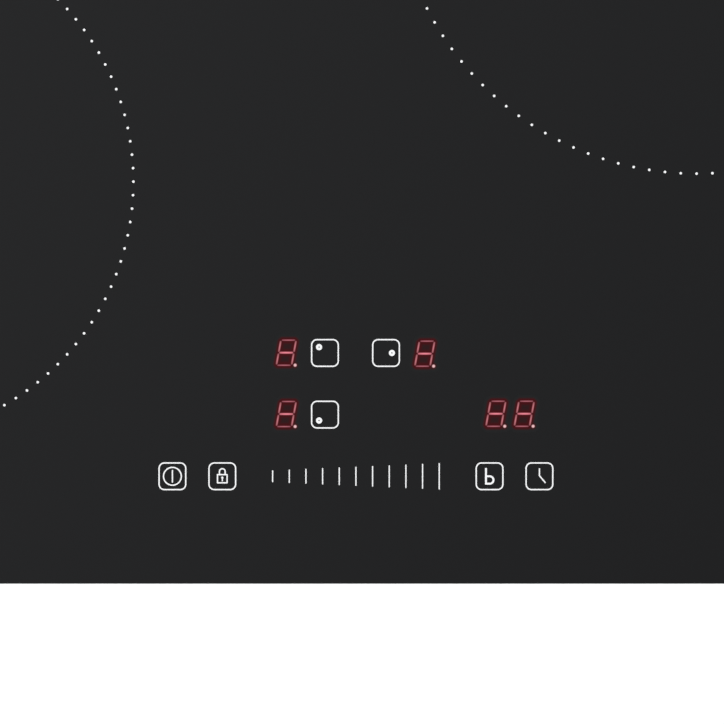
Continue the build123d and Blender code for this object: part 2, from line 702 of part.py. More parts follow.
# Brass terminals: low ones under the coil leads, and tall ones that a wire enters from the side
tall_terminal = 8.0
mains_terminals = [(10, 172), (25, 172), (40, 172)]
supply_terminals = {"left": [(-27, 100), (-27, 112), (-66, 100), (-66, 112)]}
supply_terminals["right"] = [(47, 106), (47, 118), (106, 106), (106, 118)]
with BuildPart() as lead_terminals:
    with BuildSketch(Plane.XY.offset(board_top)):
        with Locations(*[route[-1][:2] for route in lead_routes]):
            Rectangle(terminal_size, terminal_size)
    extrude(amount=terminal_height)
    with BuildSketch(Plane.XY.offset(board_top)):
        with Locations(*mains_terminals, *supply_terminals["left"], *supply_terminals["right"]):
            Rectangle(terminal_size, terminal_size)
    extrude(amount=tall_terminal)
    fillet(lead_terminals.edges().filter_by(Axis.Z), 0.8)
save(lead_terminals, "lead_terminals")

# Plastic connectors: for the sensors and the fans, and one at each end of the ribbon
connector_width, ribbon_connector_width, connector_height, socket_height = 10.0, 15.0, 6.0, 3.0
fan_wire_z = board_top + 3.0
sensor_connectors = {"front_left": (-167.6, -62), "rear_left": (-167.6, 60), "right": (118.8, -32)}
fan_connectors = {"left": (-100, -66), "right": (115, -90)}
ribbon_end_y = -52.0
with BuildPart() as board_connectors:
    with BuildSketch(Plane.XY.offset(board_top)):
        with Locations(*sensor_connectors.values(), *fan_connectors.values()):
            Rectangle(connector_width, terminal_size)
    extrude(amount=connector_height)
    with BuildSketch(Plane.XY.offset(board_top)):
        with Locations((ribbon_x, ribbon_end_y)):
            Rectangle(ribbon_connector_width, terminal_size)
    extrude(amount=connector_height)
    with BuildSketch(Plane.XY.offset(touch_board_bottom)):
        with Locations((ribbon_x, ribbon_y)):
            Rectangle(ribbon_connector_width, terminal_size)
    extrude(amount=-socket_height)
save(board_connectors, "board_connectors")


# ======================================================================
# Fans
# ======================================================================

hub_plate, bearing_radius, bearing_top = 3.0, 4.0, 18.0
strut_width, struts, shaft_lift, hub_rim = 4.0, 4, 0.5, 1.5
rotor_bottom, rotor_top = floor_top + 4.5, floor_top + fan_height - 1.0


def fan_housing(side):
    """A square frame with a round bore, four struts under the hub and a bearing tube."""
    x, y = fans[side]
    bearing = shaft_radius + shaft_clearance
    with BuildPart() as housing:
        with BuildSketch(Plane((x, y, floor_top))):
            RectangleRounded(fan_size, fan_size, fan_corner)
            Circle(fan_bore, mode=Mode.SUBTRACT)
            with GridLocations(fan_hole_pitch, fan_hole_pitch, 2, 2):
                Circle(m3_shank + screw_gap, mode=Mode.SUBTRACT)
        extrude(amount=fan_height)
        with BuildSketch(Plane((x, y, floor_top))):
            Circle(hub_radius)
            with PolarLocations((fan_bore + hub_radius) / 2, struts, start_angle=180 / struts):
                Rectangle(fan_bore - hub_radius + strut_width / 2, strut_width)
            Circle(bearing, mode=Mode.SUBTRACT)
        extrude(amount=hub_plate)
        with BuildSketch(Plane((x, y, floor_top))):
            Circle(bearing_radius)
            Circle(bearing, mode=Mode.SUBTRACT)
        extrude(amount=bearing_top - floor_top)
    save(housing, f"fan_housing_{side}")


def fan_rotor(side):
    """A cup with seven pitched blades, and the shaft that turns in the bearing tube."""
    x, y = fans[side]
    blade_chord, blade_thickness, blade_pitch = 17.0, 1.3, 40.0
    blade_middle = (rotor_bottom + rotor_top) / 2
    with BuildPart() as blade:
        with BuildSketch(Plane((hub_radius - hub_wall, 0, blade_middle), x_dir=(0, 1, 0), z_dir=(1, 0, 0))):
            SlotOverall(blade_chord, blade_thickness, rotation=blade_pitch)
        extrude(amount=blade_tip)
        with BuildSketch(Plane.XY.offset(rotor_bottom)):
            Circle(blade_tip)
            Circle(hub_radius - hub_wall / 2, mode=Mode.SUBTRACT)
        extrude(amount=rotor_top - rotor_bottom, mode=Mode.INTERSECT)
    with BuildPart() as rotor:
        with BuildSketch(Plane((x, y, rotor_bottom))):
            Circle(hub_radius)
        extrude(amount=rotor_top - rotor_bottom)
        fillet(rotor.faces().sort_by(Axis.Z)[-1].edges(), hub_rim)
        with BuildSketch(Plane((x, y, rotor_bottom))):
            Circle(hub_radius - hub_wall)
        extrude(amount=rotor_top - hub_wall - rotor_bottom, mode=Mode.SUBTRACT)
        with Locations((x, y, 0)):
            with PolarLocations(0, blades):
                add(blade.part)
        with BuildSketch(Plane((x, y, floor_top + shaft_lift))):
            Circle(shaft_radius)
        extrude(amount=rotor_top - hub_wall / 2 - floor_top - shaft_lift)
    save(rotor, f"fan_rotor_{side}")


for side_name in fans:
    fan_housing(side_name)
    fan_rotor(side_name)

with BuildPart() as fan_screws:
    for place in fan_holes:
        under_head = Plane((*place, floor_bottom), x_dir=(1, 0, 0), z_dir=(0, 0, -1))
        screw(under_head, m3_shank, fan_screw, m3_head, m3_head_height)
save(fan_screws, "fan_screws")


# ======================================================================
# Touch controls
# ======================================================================

carrier_gap, carrier_wall, carrier_ledge, carrier_corner, carrier_top = 0.3, 1.6, 3.0, 3.0, 49.0

with BuildPart() as touch_board_carrier:
    inner_width, inner_depth = touch_board_width + 2 * carrier_gap, touch_board_depth + 2 * carrier_gap
    with BuildSketch(Plane((0, touch_board_y, plate_top))):
        RectangleRounded(inner_width + 2 * carrier_wall, inner_depth + 2 * carrier_wall, carrier_corner)
        Rectangle(inner_width, inner_depth, mode=Mode.SUBTRACT)
    extrude(amount=carrier_top - plate_top)
    with BuildSketch(Plane((0, touch_board_y, plate_top))):
        Rectangle(inner_width, inner_depth)
        open_width, open_depth = inner_width - 2 * carrier_ledge, inner_depth - 2 * carrier_ledge
        Rectangle(open_width, open_depth, mode=Mode.SUBTRACT)
    extrude(amount=touch_board_bottom - plate_top)
save(touch_board_carrier, "touch_board_carrier")

with BuildPart() as touch_board_part:
    with BuildSketch(Plane((0, touch_board_y, touch_board_bottom))):
        Rectangle(touch_board_width, touch_board_depth)
    extrude(amount=board_thickness)
save(touch_board_part, "touch_board")

# Soft conductive pads carry each key's field up to the glass.
pad_radius, slider_pads, slider_pad_width, slider_pad_pitch = 4.0, 6, 8.6, 9.8
with BuildPart() as touch_pads:
    with BuildSketch(Plane.XY.offset(touch_board_top)):
        with Locations(*key_places):
            Circle(pad_radius)
        with Locations((0, power_row)):
            with GridLocations(slider_pad_pitch, 0, slider_pads, 1):
                Rectangle(slider_pad_width, 2 * pad_radius)
    extrude(amount=glass_bottom - touch_board_top)
save(touch_pads, "touch_pads")

with BuildPart() as led_displays:
    with BuildSketch(Plane.XY.offset(touch_board_top)):
        with Locations(*single_digits):
            Rectangle(display_width, display_depth)
        with Locations((timer_x, timer_digit_y)):
            Rectangle(timer_pitch + display_width, display_depth)
    extrude(amount=display_top - touch_board_top)
    fillet(led_displays.edges().filter_by(Axis.Z), 0.6)
save(led_displays, "led_displays")


def seven_segments(x, y):
    """The lit bars of one leaning digit, and its decimal point."""
    lean = tan(radians(digit_slant))
    half_width, half_height = digit_width / 2, digit_height / 2
    for row in (-1, 0, 1):
        with Locations((x + row * half_height * lean, y + row * half_height)):
            SlotOverall(digit_width - 2 * segment_gap, segment_width)
    for side in (-1, 1):
        for row in (-0.5, 0.5):
            rise = row * half_height
            with Locations((x + side * half_width + rise * lean, y + rise)):
                SlotOverall(half_height - 2 * segment_gap, segment_width, rotation=90 - digit_slant)
    with Locations((x + point_x, y + point_y)):
        Circle(point_radius)


with BuildPart() as led_segments:
    with BuildSketch(Plane.XY.offset(display_top)):
        for digit_place in single_digits + timer_digits:
            seven_segments(*digit_place)
    extrude(amount=segment_thickness)
save(led_segments, "led_segments")


# ======================================================================
# Terminal box
# ======================================================================

block_front, block_depth, block_height, block_width = 212.0, 18.0, 16.0, 42.0
box_centre = (box_left + box_right) / 2
block_bottom = floor_top + box_wall

with BuildPart() as terminal_box:
    with BuildSketch(Plane((0, 0, floor_top))):
        with Locations((box_centre, (box_front + rail_y) / 2)):
            Rectangle(box_right - box_left, rail_y - box_front)
    extrude(amount=box_top - floor_top)
    lower_edges = terminal_box.edges().filter_by(Axis.X).group_by(Axis.Z)[0]
    fillet(lower_edges.sort_by(Axis.Y)[-1], case_bend - sheet)  # it lies in the tray's bend
    with BuildSketch(Plane((0, 0, block_bottom))):
        with Locations((box_centre, (box_front + box_wall + rail_y) / 2)):
            Rectangle(box_right - box_left - 2 * box_wall, rail_y - box_front - box_wall)
    extrude(amount=box_top - box_wall - block_bottom, mode=Mode.SUBTRACT)
    with BuildSketch(Plane.XZ.offset(-box_front)):
        with Locations(*[(place, wire_z) for place in pole_x]):
            Circle(lead_radius + 0.5)
    extrude(amount=-box_wall, mode=Mode.SUBTRACT)
save(terminal_box, "terminal_box")

with BuildPart() as terminal_block:
    with BuildSketch(Plane((pole_x[1], block_front + block_depth / 2, block_bottom))):
        Rectangle(block_width, block_depth)
    extrude(amount=block_height)
    # A well over each pole for its screw, and an entry for the supply wire at the back
    with BuildSketch(Plane((pole_x[1], block_front + block_depth / 2, block_bottom + block_height))):
        with GridLocations(pole_x[1] - pole_x[0], 0, len(pole_x), 1):
            Rectangle(well_width, well_length)
    extrude(amount=-well_depth, mode=Mode.SUBTRACT)
    with BuildSketch(Plane.XZ.offset(-block_front - block_depth)):
        with Locations(*[(place, entry_z) for place in pole_x]):
            Circle(entry_radius)
    extrude(amount=entry_depth, mode=Mode.SUBTRACT)
save(terminal_block, "terminal_block")

with BuildPart() as terminal_screws:
    for place in pole_x:
        well = Plane((place, block_front + block_depth / 2, block_bottom + block_height - well_depth))
        with BuildSketch(well):
            Circle(m4_head)
        extrude(amount=m4_head_height)
        with BuildSketch(well.offset(m4_head_height)):
            Rectangle(2 * m4_head, recess_width)
        extrude(amount=-recess_depth, mode=Mode.SUBTRACT)
save(terminal_screws, "terminal_screws")

# The cord's gland in the rear wall: a flange outside, a threaded neck and a nut inside.
with BuildPart() as cord_gland:
    with BuildSketch(Plane((gland_x, wall_y, gland_z), x_dir=(1, 0, 0), z_dir=(0, 1, 0))):
        Circle(flange_radius)
        Circle(cord_radius, mode=Mode.SUBTRACT)
    extrude(amount=flange_thickness)
    with BuildSketch(Plane((gland_x, wall_y, gland_z), x_dir=(1, 0, 0), z_dir=(0, 1, 0))):
        Circle(gland_radius)
        Circle(cord_radius, mode=Mode.SUBTRACT)
    extrude(amount=-neck_length)
    with BuildSketch(Plane((gland_x, rail_y, gland_z), x_dir=(1, 0, 0), z_dir=(0, 1, 0))):
        RegularPolygon(nut_radius, 6)
        Circle(cord_radius, mode=Mode.SUBTRACT)
    extrude(amount=-nut_height)
    fillet(cord_gland.faces().sort_by(Axis.Y)[-1].edges(), 0.8)
save(cord_gland, "cord_gland")

cover_thickness, cover_gap, cover_top, cover_corner = 2.0, 0.5, 37.5, 3.0
barrel_radius, side_gap = 2.0, 0.3
rib_length, rib_width, rib_pitch, rib_height, ribs, rib_drop = 24.0, 1.2, 3.0, 0.6, 3, 7.0

with BuildPart() as terminal_cover:
    cover_width = hinge_right - hinge_left - 2 * side_gap
    cover_middle = (hinge_left + hinge_right) / 2
    with BuildSketch(Plane((cover_middle, wall_y + cover_gap, 0), x_dir=(-1, 0, 0), z_dir=(0, 1, 0))):
        with Locations((0, hinge_z)):
            Rectangle(cover_width, cover_top - hinge_z, align=(Align.CENTER, Align.MIN))
    extrude(amount=cover_thickness)
    fillet(terminal_cover.edges().filter_by(Axis.Y).group_by(Axis.Z)[-1], cover_corner)
    with BuildSketch(Plane((cover_middle, hinge_y, hinge_z), x_dir=(0, 1, 0), z_dir=(1, 0, 0))):
        Circle(barrel_radius)
    extrude(amount=cover_width / 2, both=True)
    with BuildSketch(Plane((cover_middle, hinge_y, hinge_z), x_dir=(0, 1, 0), z_dir=(1, 0, 0))):
        Circle(hinge_pin)
    extrude(amount=cover_width / 2 + side_gap + lug, both=True)
    # Ribs for the finger along the free edge
    rib_place = (cover_middle, wall_y + cover_gap + cover_thickness, cover_top - rib_drop)
    with BuildSketch(Plane(rib_place, x_dir=(-1, 0, 0), z_dir=(0, 1, 0))):
        with GridLocations(0, rib_pitch, 1, ribs):
            SlotOverall(rib_length, rib_width)
    extrude(amount=rib_height)
save(terminal_cover, "terminal_cover")


# ======================================================================
# Worktop brackets
# ======================================================================


def bracket(label, side, y):
    """An angle that slides up the side wall on its slot and clamps the worktop from below."""
    with BuildPart() as angle:
        with BuildSketch(Plane((side * wall_x, y, 0), x_dir=(0, side, 0), z_dir=(side, 0, 0))):
            with Locations((0, (bracket_low + bracket_high) / 2)):
                Rectangle(bracket_width, bracket_high - bracket_low)
            with Locations((0, bracket_screw_z - bracket_travel / 2)):
                SlotCenterToCenter(bracket_travel, 2 * m4_slot, rotation=90, mode=Mode.SUBTRACT)
        extrude(amount=bracket_thickness)
        with BuildSketch(Plane((side * (wall_x + bracket_reach / 2), y, bracket_high))):
            Rectangle(bracket_reach, bracket_width)
        extrude(amount=-bracket_thickness)
        fillet(angle.edges().filter_by(Axis.Z).group_by(SortBy.DISTANCE)[-1], bracket_corner)
    save(angle, label)


bracket_places = {
    "bracket_front_left": (-1, -bracket_y),
    "bracket_rear_left": (-1, bracket_y),
    "bracket_front_right": (1, -bracket_y),
    "bracket_rear_right": (1, bracket_y),
}
for bracket_name, (bracket_side, bracket_place) in bracket_places.items():
    bracket(bracket_name, bracket_side, bracket_place)

with BuildPart() as bracket_screws:
    for side, place in bracket_places.values():
        head_x = side * (wall_x + bracket_thickness + screw_gap)
        under_head = Plane((head_x, place, bracket_screw_z), x_dir=(0, 1, 0), z_dir=(side, 0, 0))
        screw(under_head, m4_shank, bracket_screw, m4_head, m4_head_height)
save(bracket_screws, "bracket_screws")


# ======================================================================
# Wires
# ======================================================================

lead_bend = 8.0
with BuildPart() as coil_leads:
    for route in lead_routes:
        wire(route, [lead_bend], lead_radius)
save(coil_leads, "coil_leads")

sensor_wire, sensor_wire_top, sensor_bend, fan_exit = 0.7, 49.5, 4.0, 10.0
sensor_levels = {"front_left": 31.0, "rear_left": 37.2, "right": 31.0}
with BuildPart() as signal_leads:
    for zone_name, (zone_x, zone_y, _) in zones.items():
        end_y, level = sensor_connectors[zone_name][1], sensor_levels[zone_name]
        wire(
            [
                (zone_x, zone_y, sensor_wire_top),
                (zone_x, zone_y, level),
                (zone_x, end_y, level),
                (zone_x, end_y, board_top + connector_height),
            ],
            [sensor_bend, sensor_bend],
            sensor_wire,
        )
    for side_name, (fan_x, fan_y) in fans.items():
        inward = 1 if side_name == "left" else -1
        end_x, end_y = fan_connectors[side_name]
        start_x, start_y = fan_x + inward * fan_size / 2, fan_y + fan_exit
        entry_y = end_y - terminal_size / 2
        points = [(start_x, start_y, fan_wire_z), (end_x, start_y, fan_wire_z), (end_x, entry_y, fan_wire_z)]
        wire(points, [lead_bend], sensor_wire)
save(signal_leads, "signal_leads")

mains_runs, mains_bend = [196.0, 190.0, 184.0], 6.0
with BuildPart() as mains_wires:
    for place, run_y, (end_x, end_y) in zip(pole_x, mains_runs, mains_terminals):
        points = [(place, block_front, wire_z), (place, run_y, wire_z), (end_x, run_y, wire_z)]
        points.append((end_x, end_y + terminal_size / 2, wire_z))
        wire(points, [mains_bend, mains_bend / 2], lead_radius)
    for near_left, near_right, far_left, far_right in supply_terminals.values():
        for near, far in ((near_left, far_left), (near_right, far_right)):
            outward = 1 if far[0] > near[0] else -1
            start = (near[0] + outward * terminal_size / 2, near[1], wire_z)
            wire([start, (far[0] - outward * terminal_size / 2, far[1], wire_z)], [], lead_radius)
save(mains_wires, "mains_wires")

# The ribbon goes down through the plate, back along it and down to the left power board.
ribbon_level, ribbon_bend = 37.5, 4.0
with BuildPart() as display_ribbon:
    with BuildSketch(Plane.YZ.offset(ribbon_x)) as ribbon_side:
        with BuildLine() as ribbon_route:
            FilletPolyline(
                (ribbon_y, touch_board_bottom - socket_height),
                (ribbon_y, ribbon_level),
                (ribbon_end_y, ribbon_level),
                (ribbon_end_y, board_top + connector_height),
                radius=[ribbon_bend, ribbon_bend],
            )
        trace(ribbon_route.line, ribbon_thickness)
    extrude(amount=ribbon_width / 2, both=True)
save(display_ribbon, "display_ribbon")
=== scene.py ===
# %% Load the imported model
from math import pi, radians, tan

import bmesh
import bpy
import numpy as np
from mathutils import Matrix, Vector


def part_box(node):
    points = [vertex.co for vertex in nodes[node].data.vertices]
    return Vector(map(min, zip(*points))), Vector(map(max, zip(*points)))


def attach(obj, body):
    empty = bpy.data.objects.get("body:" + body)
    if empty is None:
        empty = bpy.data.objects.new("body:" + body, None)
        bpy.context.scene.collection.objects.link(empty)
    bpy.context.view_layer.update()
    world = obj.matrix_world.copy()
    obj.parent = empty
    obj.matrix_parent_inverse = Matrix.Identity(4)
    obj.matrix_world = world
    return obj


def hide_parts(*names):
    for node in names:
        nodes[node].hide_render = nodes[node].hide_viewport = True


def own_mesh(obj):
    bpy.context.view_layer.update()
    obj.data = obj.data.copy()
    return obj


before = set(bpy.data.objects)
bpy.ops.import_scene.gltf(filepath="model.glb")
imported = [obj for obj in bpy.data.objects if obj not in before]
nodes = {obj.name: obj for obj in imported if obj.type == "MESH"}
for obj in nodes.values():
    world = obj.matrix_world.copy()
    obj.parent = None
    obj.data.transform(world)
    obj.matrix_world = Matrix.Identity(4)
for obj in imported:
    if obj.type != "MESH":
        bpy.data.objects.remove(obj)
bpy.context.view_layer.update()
mm = 0.001
zone_names = ["front_left", "rear_left", "right"]

# %% [markdown]
# A built-in induction hob is one sheet of black glass ceramic with everything else hidden under it:
# flat copper coils, two power boards with fans, and a touch board behind the printed controls.
# The hard parts already have their shape, so most of the work here is finish. What makes black glass
# look like glass and not like a black card is what it reflects, so the room comes before the materials.

# %% [markdown]
# ## The view
# The hob is looked at from straight above, near its front edge, through a long lens. A long lens keeps the
# printed lines parallel. An orthographic camera would do that too, but a long lens also works from the side.
# The distance follows from the width of glass that has to fill the frame.

# %% The camera
glass_low, glass_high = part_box("glass_plate")
print_low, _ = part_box("control_print")
sensor_width, lens = 36.0, 85.0
view_width = 252.5 * mm
view_centre = Vector((2.12 * mm, glass_low.y + 77.4 * mm))
camera_data = bpy.data.cameras.new("camera")
camera_data.lens, camera_data.sensor_width = lens, sensor_width
camera = bpy.data.objects.new("camera", camera_data)
bpy.context.collection.objects.link(camera)
distance = view_width / 2 / (sensor_width / 2 / lens)
camera.location = (view_centre.x, view_centre.y, glass_high.z + distance)
bpy.context.scene.camera = camera
bpy.context.scene.view_settings.view_transform = "Standard"
print(f"camera {distance * 1000:.0f} mm above the glass")

# %% [markdown]
# ## The room
# Polished black glass is a dark mirror. Looked at squarely it shows about a twenty-fifth of the light above
# it, so the room is a pale shell that is a little brighter at the back left, and the lamps hang where the
# camera can't see them mirrored. The shell is the world background: a direction turned into a brightness.


# %% Helpers for node trees
def add(tree, kind, **values):
    """Adds a node and sets its properties."""
    node = tree.nodes.new(kind)
    for name, value in values.items():
        setattr(node, name, value)
    return node


def calculate(tree, operation, first, second=None):
    """One Math node. An argument is a socket or a number."""
    node = add(tree, "ShaderNodeMath", operation=operation)
    for slot, value in enumerate((first, second)):
        if isinstance(value, bpy.types.NodeSocket):
            tree.links.new(value, node.inputs[slot])
        elif value is not None:
            node.inputs[slot].default_value = value
    return node.outputs[0]


def three_axes(tree, vector):
    """The X, Y and Z of a vector socket."""
    split = add(tree, "ShaderNodeSeparateXYZ")
    tree.links.new(vector, split.inputs[0])
    return split.outputs["X"], split.outputs["Y"], split.outputs["Z"]


# %% The pale shell round the hob
world = bpy.data.worlds.new("studio")
bpy.context.scene.world = world
world.use_nodes = True
tree = world.node_tree
overhead, horizon, lean_x, lean_y = 0.33, 0.62, -0.20, 0.17
rise_power, shell_colour = 1.5, (0.97, 0.985, 1.0, 1.0)
east, north, up = three_axes(tree, add(tree, "ShaderNodeTexCoord").outputs["Generated"])
flatness = calculate(tree, "SUBTRACT", 1.0, calculate(tree, "ABSOLUTE", up))
lift = calculate(tree, "MULTIPLY", calculate(tree, "POWER", flatness, rise_power), horizon - overhead)
lean_east, lean_north = calculate(tree, "MULTIPLY", east, lean_x), calculate(tree, "MULTIPLY", north, lean_y)
lean = calculate(tree, "ADD", lean_east, lean_north)
brightness = calculate(tree, "ADD", calculate(tree, "ADD", lift, overhead), lean)
background = tree.nodes["Background"]
background.inputs["Color"].default_value = shell_colour
tree.links.new(brightness, background.inputs["Strength"])
print("room brightness", overhead, "overhead and", horizon, "at the horizon")


# %% Soft lamps, out of the glass's view
def soft_lamp(name, place, size, power):
    """A square lamp that points at the middle of the hob."""
    data = bpy.data.lights.new(name, "AREA")
    data.shape, data.size, data.energy = "SQUARE", size, power
    lamp = bpy.data.objects.new(name, data)
    lamp.location = place
    lamp.rotation_euler = (-Vector(place)).to_track_quat("-Z", "Y").to_euler()
    bpy.context.collection.objects.link(lamp)


lamp_size, key_power, low_power = 1.6, 62, 34
soft_lamp("key_lamp", (-2.0, -1.3, 1.9), lamp_size, key_power)
soft_lamp("fill_lamp", (2.1, -1.0, 1.5), lamp_size, low_power)
soft_lamp("back_lamp", (0.5, 2.3, 1.6), lamp_size, low_power)
print("three soft lamps of", key_power, low_power, "and", low_power, "watts")

# %% [markdown]
# ## Shapes worked out as grids
# Every new piece is a surface: a grid of points worked out by numpy for all its rows and columns at once.
# One helper turns such a grid into a mesh. It joins each point to the next in its row and in its column, and
# can join the last to the first, which closes a tube or a ring. A tube is then a path with a small outline
# standing square to it at every point.


# %% From a grid of points to a mesh
def surface(name, points, close_rows=False, close_columns=False, along=None, keep=None):
    """A face for each cell of the grid: a point, its neighbour in the row, and the two below them.

    keep is True for the cells that get a face. along is each row's distance along the piece: it becomes U
    in a UV map, and the share of the way round the row becomes V.
    """
    rows, columns = points.shape[:2]
    order = np.arange(rows * columns).reshape(rows, columns)
    if close_rows:
        order = np.vstack([order, order[:1]])
    if close_columns:
        order = np.hstack([order, order[:, :1]])
    faces = np.stack([order[:-1, :-1], order[:-1, 1:], order[1:, 1:], order[1:, :-1]], -1).reshape(-1, 4)
    if keep is not None:
        faces = faces[keep.reshape(-1)]
    used, corners = np.unique(faces, return_inverse=True)
    mesh = bpy.data.meshes.new(name)
    mesh.vertices.add(len(used))
    mesh.vertices.foreach_set("co", points.reshape(-1, 3)[used].reshape(-1).astype(np.float32))
    mesh.loops.add(faces.size)
    mesh.loops.foreach_set("vertex_index", corners.reshape(-1).astype(np.int32))
    mesh.polygons.add(len(faces))
    mesh.polygons.foreach_set("loop_start", np.arange(0, faces.size, 4, dtype=np.int32))
    mesh.update(calc_edges=True)
    if along is not None:
        cell_row, cell_column = np.divmod(np.arange(len(faces)), order.shape[1] - 1)
        u = along[cell_row[:, None] + np.array([0, 0, 1, 1])]
        v = (cell_column[:, None] + np.array([0, 1, 1, 0])) / (order.shape[1] - 1)
        mesh.uv_layers.new(name="UVMap").data.foreach_set("uv", np.stack([u, v], -1).reshape(-1))
    piece = bpy.data.objects.new(name, mesh)
    bpy.context.collection.objects.link(piece)
    return piece


def mend(piece):
    """Merges points that lie together, as at a pole, turns every face outwards and smooths the shading."""
    work = bmesh.new()
    work.from_mesh(piece.data)
    bmesh.ops.remove_doubles(work, verts=work.verts, dist=1e-7)
    bmesh.ops.recalc_face_normals(work, faces=work.faces)
    work.to_mesh(piece.data)
    work.free()
    piece.data.shade_smooth()


def fit_out(piece, made, body, replaced=()):
    """Gives a new piece its finish and its body, and hides the nodes that it stands for."""
    piece.data.materials.append(made)
    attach(piece, body)
    if replaced:
        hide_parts(*replaced)
    print(piece.name, len(piece.data.polygons), "faces")


def unit(vectors):
    """Vectors of length one."""
    return vectors / np.linalg.norm(vectors, axis=-1, keepdims=True)


def tube(name, path, side, half_wide, half_high, sides=12, closed=False):
    """A path with an oval round it: path + wide * cos(a) * across + high * sin(a) * up, for a full turn of a.

    side is a direction square to the path, for each of its points. Open ends close to a point.
    """
    if closed:
        forward = unit(np.roll(path, -1, 0) - np.roll(path, 1, 0))
    else:
        forward = unit(np.gradient(path, axis=0))
    upward = unit(np.cross(forward, side))
    across = unit(np.cross(upward, forward))
    turn = np.linspace(0, 2 * pi, sides, endpoint=False)
    wide = half_wide * np.cos(turn)[None, :, None] * across[:, None, :]
    high = half_high * np.sin(turn)[None, :, None] * upward[:, None, :]
    rings = path[:, None, :] + wide + high
    steps = np.linalg.norm(np.diff(path, axis=0), axis=-1)
    along = np.concatenate([[0], np.cumsum(steps)])
    if closed:
        along = np.append(along, along[-1] + steps[-1])
    else:
        ends = [np.repeat(path[end][None, None, :], sides, axis=1) for end in (0, -1)]
        rings = np.concatenate([ends[0], rings, ends[1]])
        along = np.concatenate([[0], along, along[-1:]])
    piece = surface(name, rings, close_rows=closed, close_columns=True, along=along)
    mend(piece)
    return piece


# %% [markdown]
# The floor is a plain pale table top. It glows slightly, as an overexposed white table does, so that it
# stays white right up to the edge of the hob.

# %% The table
table_reach, table_steps, table_glow = 10.0, 5, 0.3
span = np.linspace(-table_reach, table_reach, table_steps)
grid_x, grid_y = np.meshgrid(span, span)
table = surface("table", np.stack([grid_x, grid_y, np.zeros_like(grid_x)], -1))
table_finish = bpy.data.materials.new("white_table")
table_finish.use_nodes = True
shader = table_finish.node_tree.nodes["Principled BSDF"]
shader.inputs["Base Color"].default_value = (0.86, 0.865, 0.87, 1)
shader.inputs["Roughness"].default_value = 0.7
shader.inputs["Emission Color"].default_value = (1, 1, 1, 1)
shader.inputs["Emission Strength"].default_value = table_glow
table.data.materials.append(table_finish)
print("table", 2 * table_reach, "m square")

# %% [markdown]
# ## A maker's set of finishes
# A finish is a Principled shader whose roughness, colour or height varies a little from place to place, as
# every real surface does. The patterns read Object coordinates, which are metres on the real object, so
# a scale of 1000 means one grain in a millimetre. A few small helpers are enough: one makes the shader, some
# spread a pattern, one turns it into a range of numbers or colours, and one turns it into bumps.


# %% Helpers for finishes
def finish(name, colour, roughness, **inputs):
    """A new material: the shader's uniform values are set on its own sockets."""
    made = bpy.data.materials.new(name)
    made.use_nodes = True
    sockets = made.node_tree.nodes["Principled BSDF"].inputs
    sockets["Base Color"].default_value = (*colour, 1)
    sockets["Roughness"].default_value = roughness
    for key, value in inputs.items():
        sockets[key.replace("_", " ").title().replace("Ior", "IOR")].default_value = value
    return made


def place_on(made, stretch=(1, 1, 1)):
    """Object coordinates, each axis multiplied: with a small number, a pattern runs long along that axis."""
    mapping = add(made.node_tree, "ShaderNodeMapping")
    mapping.inputs["Scale"].default_value = stretch
    here = add(made.node_tree, "ShaderNodeTexCoord").outputs["Object"]
    made.node_tree.links.new(here, mapping.inputs["Vector"])
    return mapping.outputs[0]


def noise(made, scale, detail=3.0, stretch=(1, 1, 1)):
    """Cloudy noise from 0 to 1, with a cloud about 1/scale metres across."""
    texture = add(made.node_tree, "ShaderNodeTexNoise")
    texture.inputs["Scale"].default_value = scale
    texture.inputs["Detail"].default_value = detail
    made.node_tree.links.new(place_on(made, stretch), texture.inputs["Vector"])
    return texture.outputs["Fac"]


def cells(made, scale, output="Color"):
    """Cells like crystals. Color gives each a grey of its own, and Distance how far its middle is."""
    texture = add(made.node_tree, "ShaderNodeTexVoronoi")
    texture.inputs["Scale"].default_value = scale
    made.node_tree.links.new(place_on(made), texture.inputs["Vector"])
    return texture.outputs[output]


def vary(made, pattern, socket, low, high, start=0.3, end=0.7):
    """Spreads a pattern's values between start and end over low to high: numbers, or colours."""
    tree = made.node_tree
    target = tree.nodes["Principled BSDF"].inputs[socket]
    if isinstance(low, tuple):
        ramp = add(tree, "ShaderNodeValToRGB")
        first, last = ramp.color_ramp.elements
        first.position, last.position = start, end
        first.color, last.color = (*low, 1), (*high, 1)
        tree.links.new(pattern, ramp.inputs[0])
        tree.links.new(ramp.outputs[0], target)
    else:
        spread = add(tree, "ShaderNodeMapRange")
        for index, value in enumerate((start, end, low, high), 1):
            spread.inputs[index].default_value = value
        tree.links.new(pattern, spread.inputs[0])
        tree.links.new(spread.outputs[0], target)


def raise_by(made, pattern, depth, strength=1.0):
    """Bumps: the pattern's 0 to 1 becomes 0 to depth metres of height. A second call adds to the first."""
    tree = made.node_tree
    shader = tree.nodes["Principled BSDF"]
    bump = add(tree, "ShaderNodeBump")
    bump.inputs["Distance"].default_value = depth
    bump.inputs["Strength"].default_value = strength
    tree.links.new(pattern, bump.inputs["Height"])
    if shader.inputs["Normal"].is_linked:
        tree.links.new(shader.inputs["Normal"].links[0].from_socket, bump.inputs["Normal"])
    tree.links.new(bump.outputs[0], shader.inputs["Normal"])


def dress(made, *names):
    """Gives a finish to CAD nodes, in every material slot that they have."""
    for name in names:
        for slot in nodes[name].material_slots:
            slot.material = made
    print(made.name, "on", ", ".join(names))


# %% [markdown]
# ## Black glass ceramic
# The plate is 4 mm of dark glass ceramic with a ground and polished edge. It is so dark that hardly any light
# comes back out of it, so its base colour is nearly black and the reflection does the rest. A faint long
# ripple from rolling, and a slightly uneven gloss, keep the reflections from being perfectly straight.

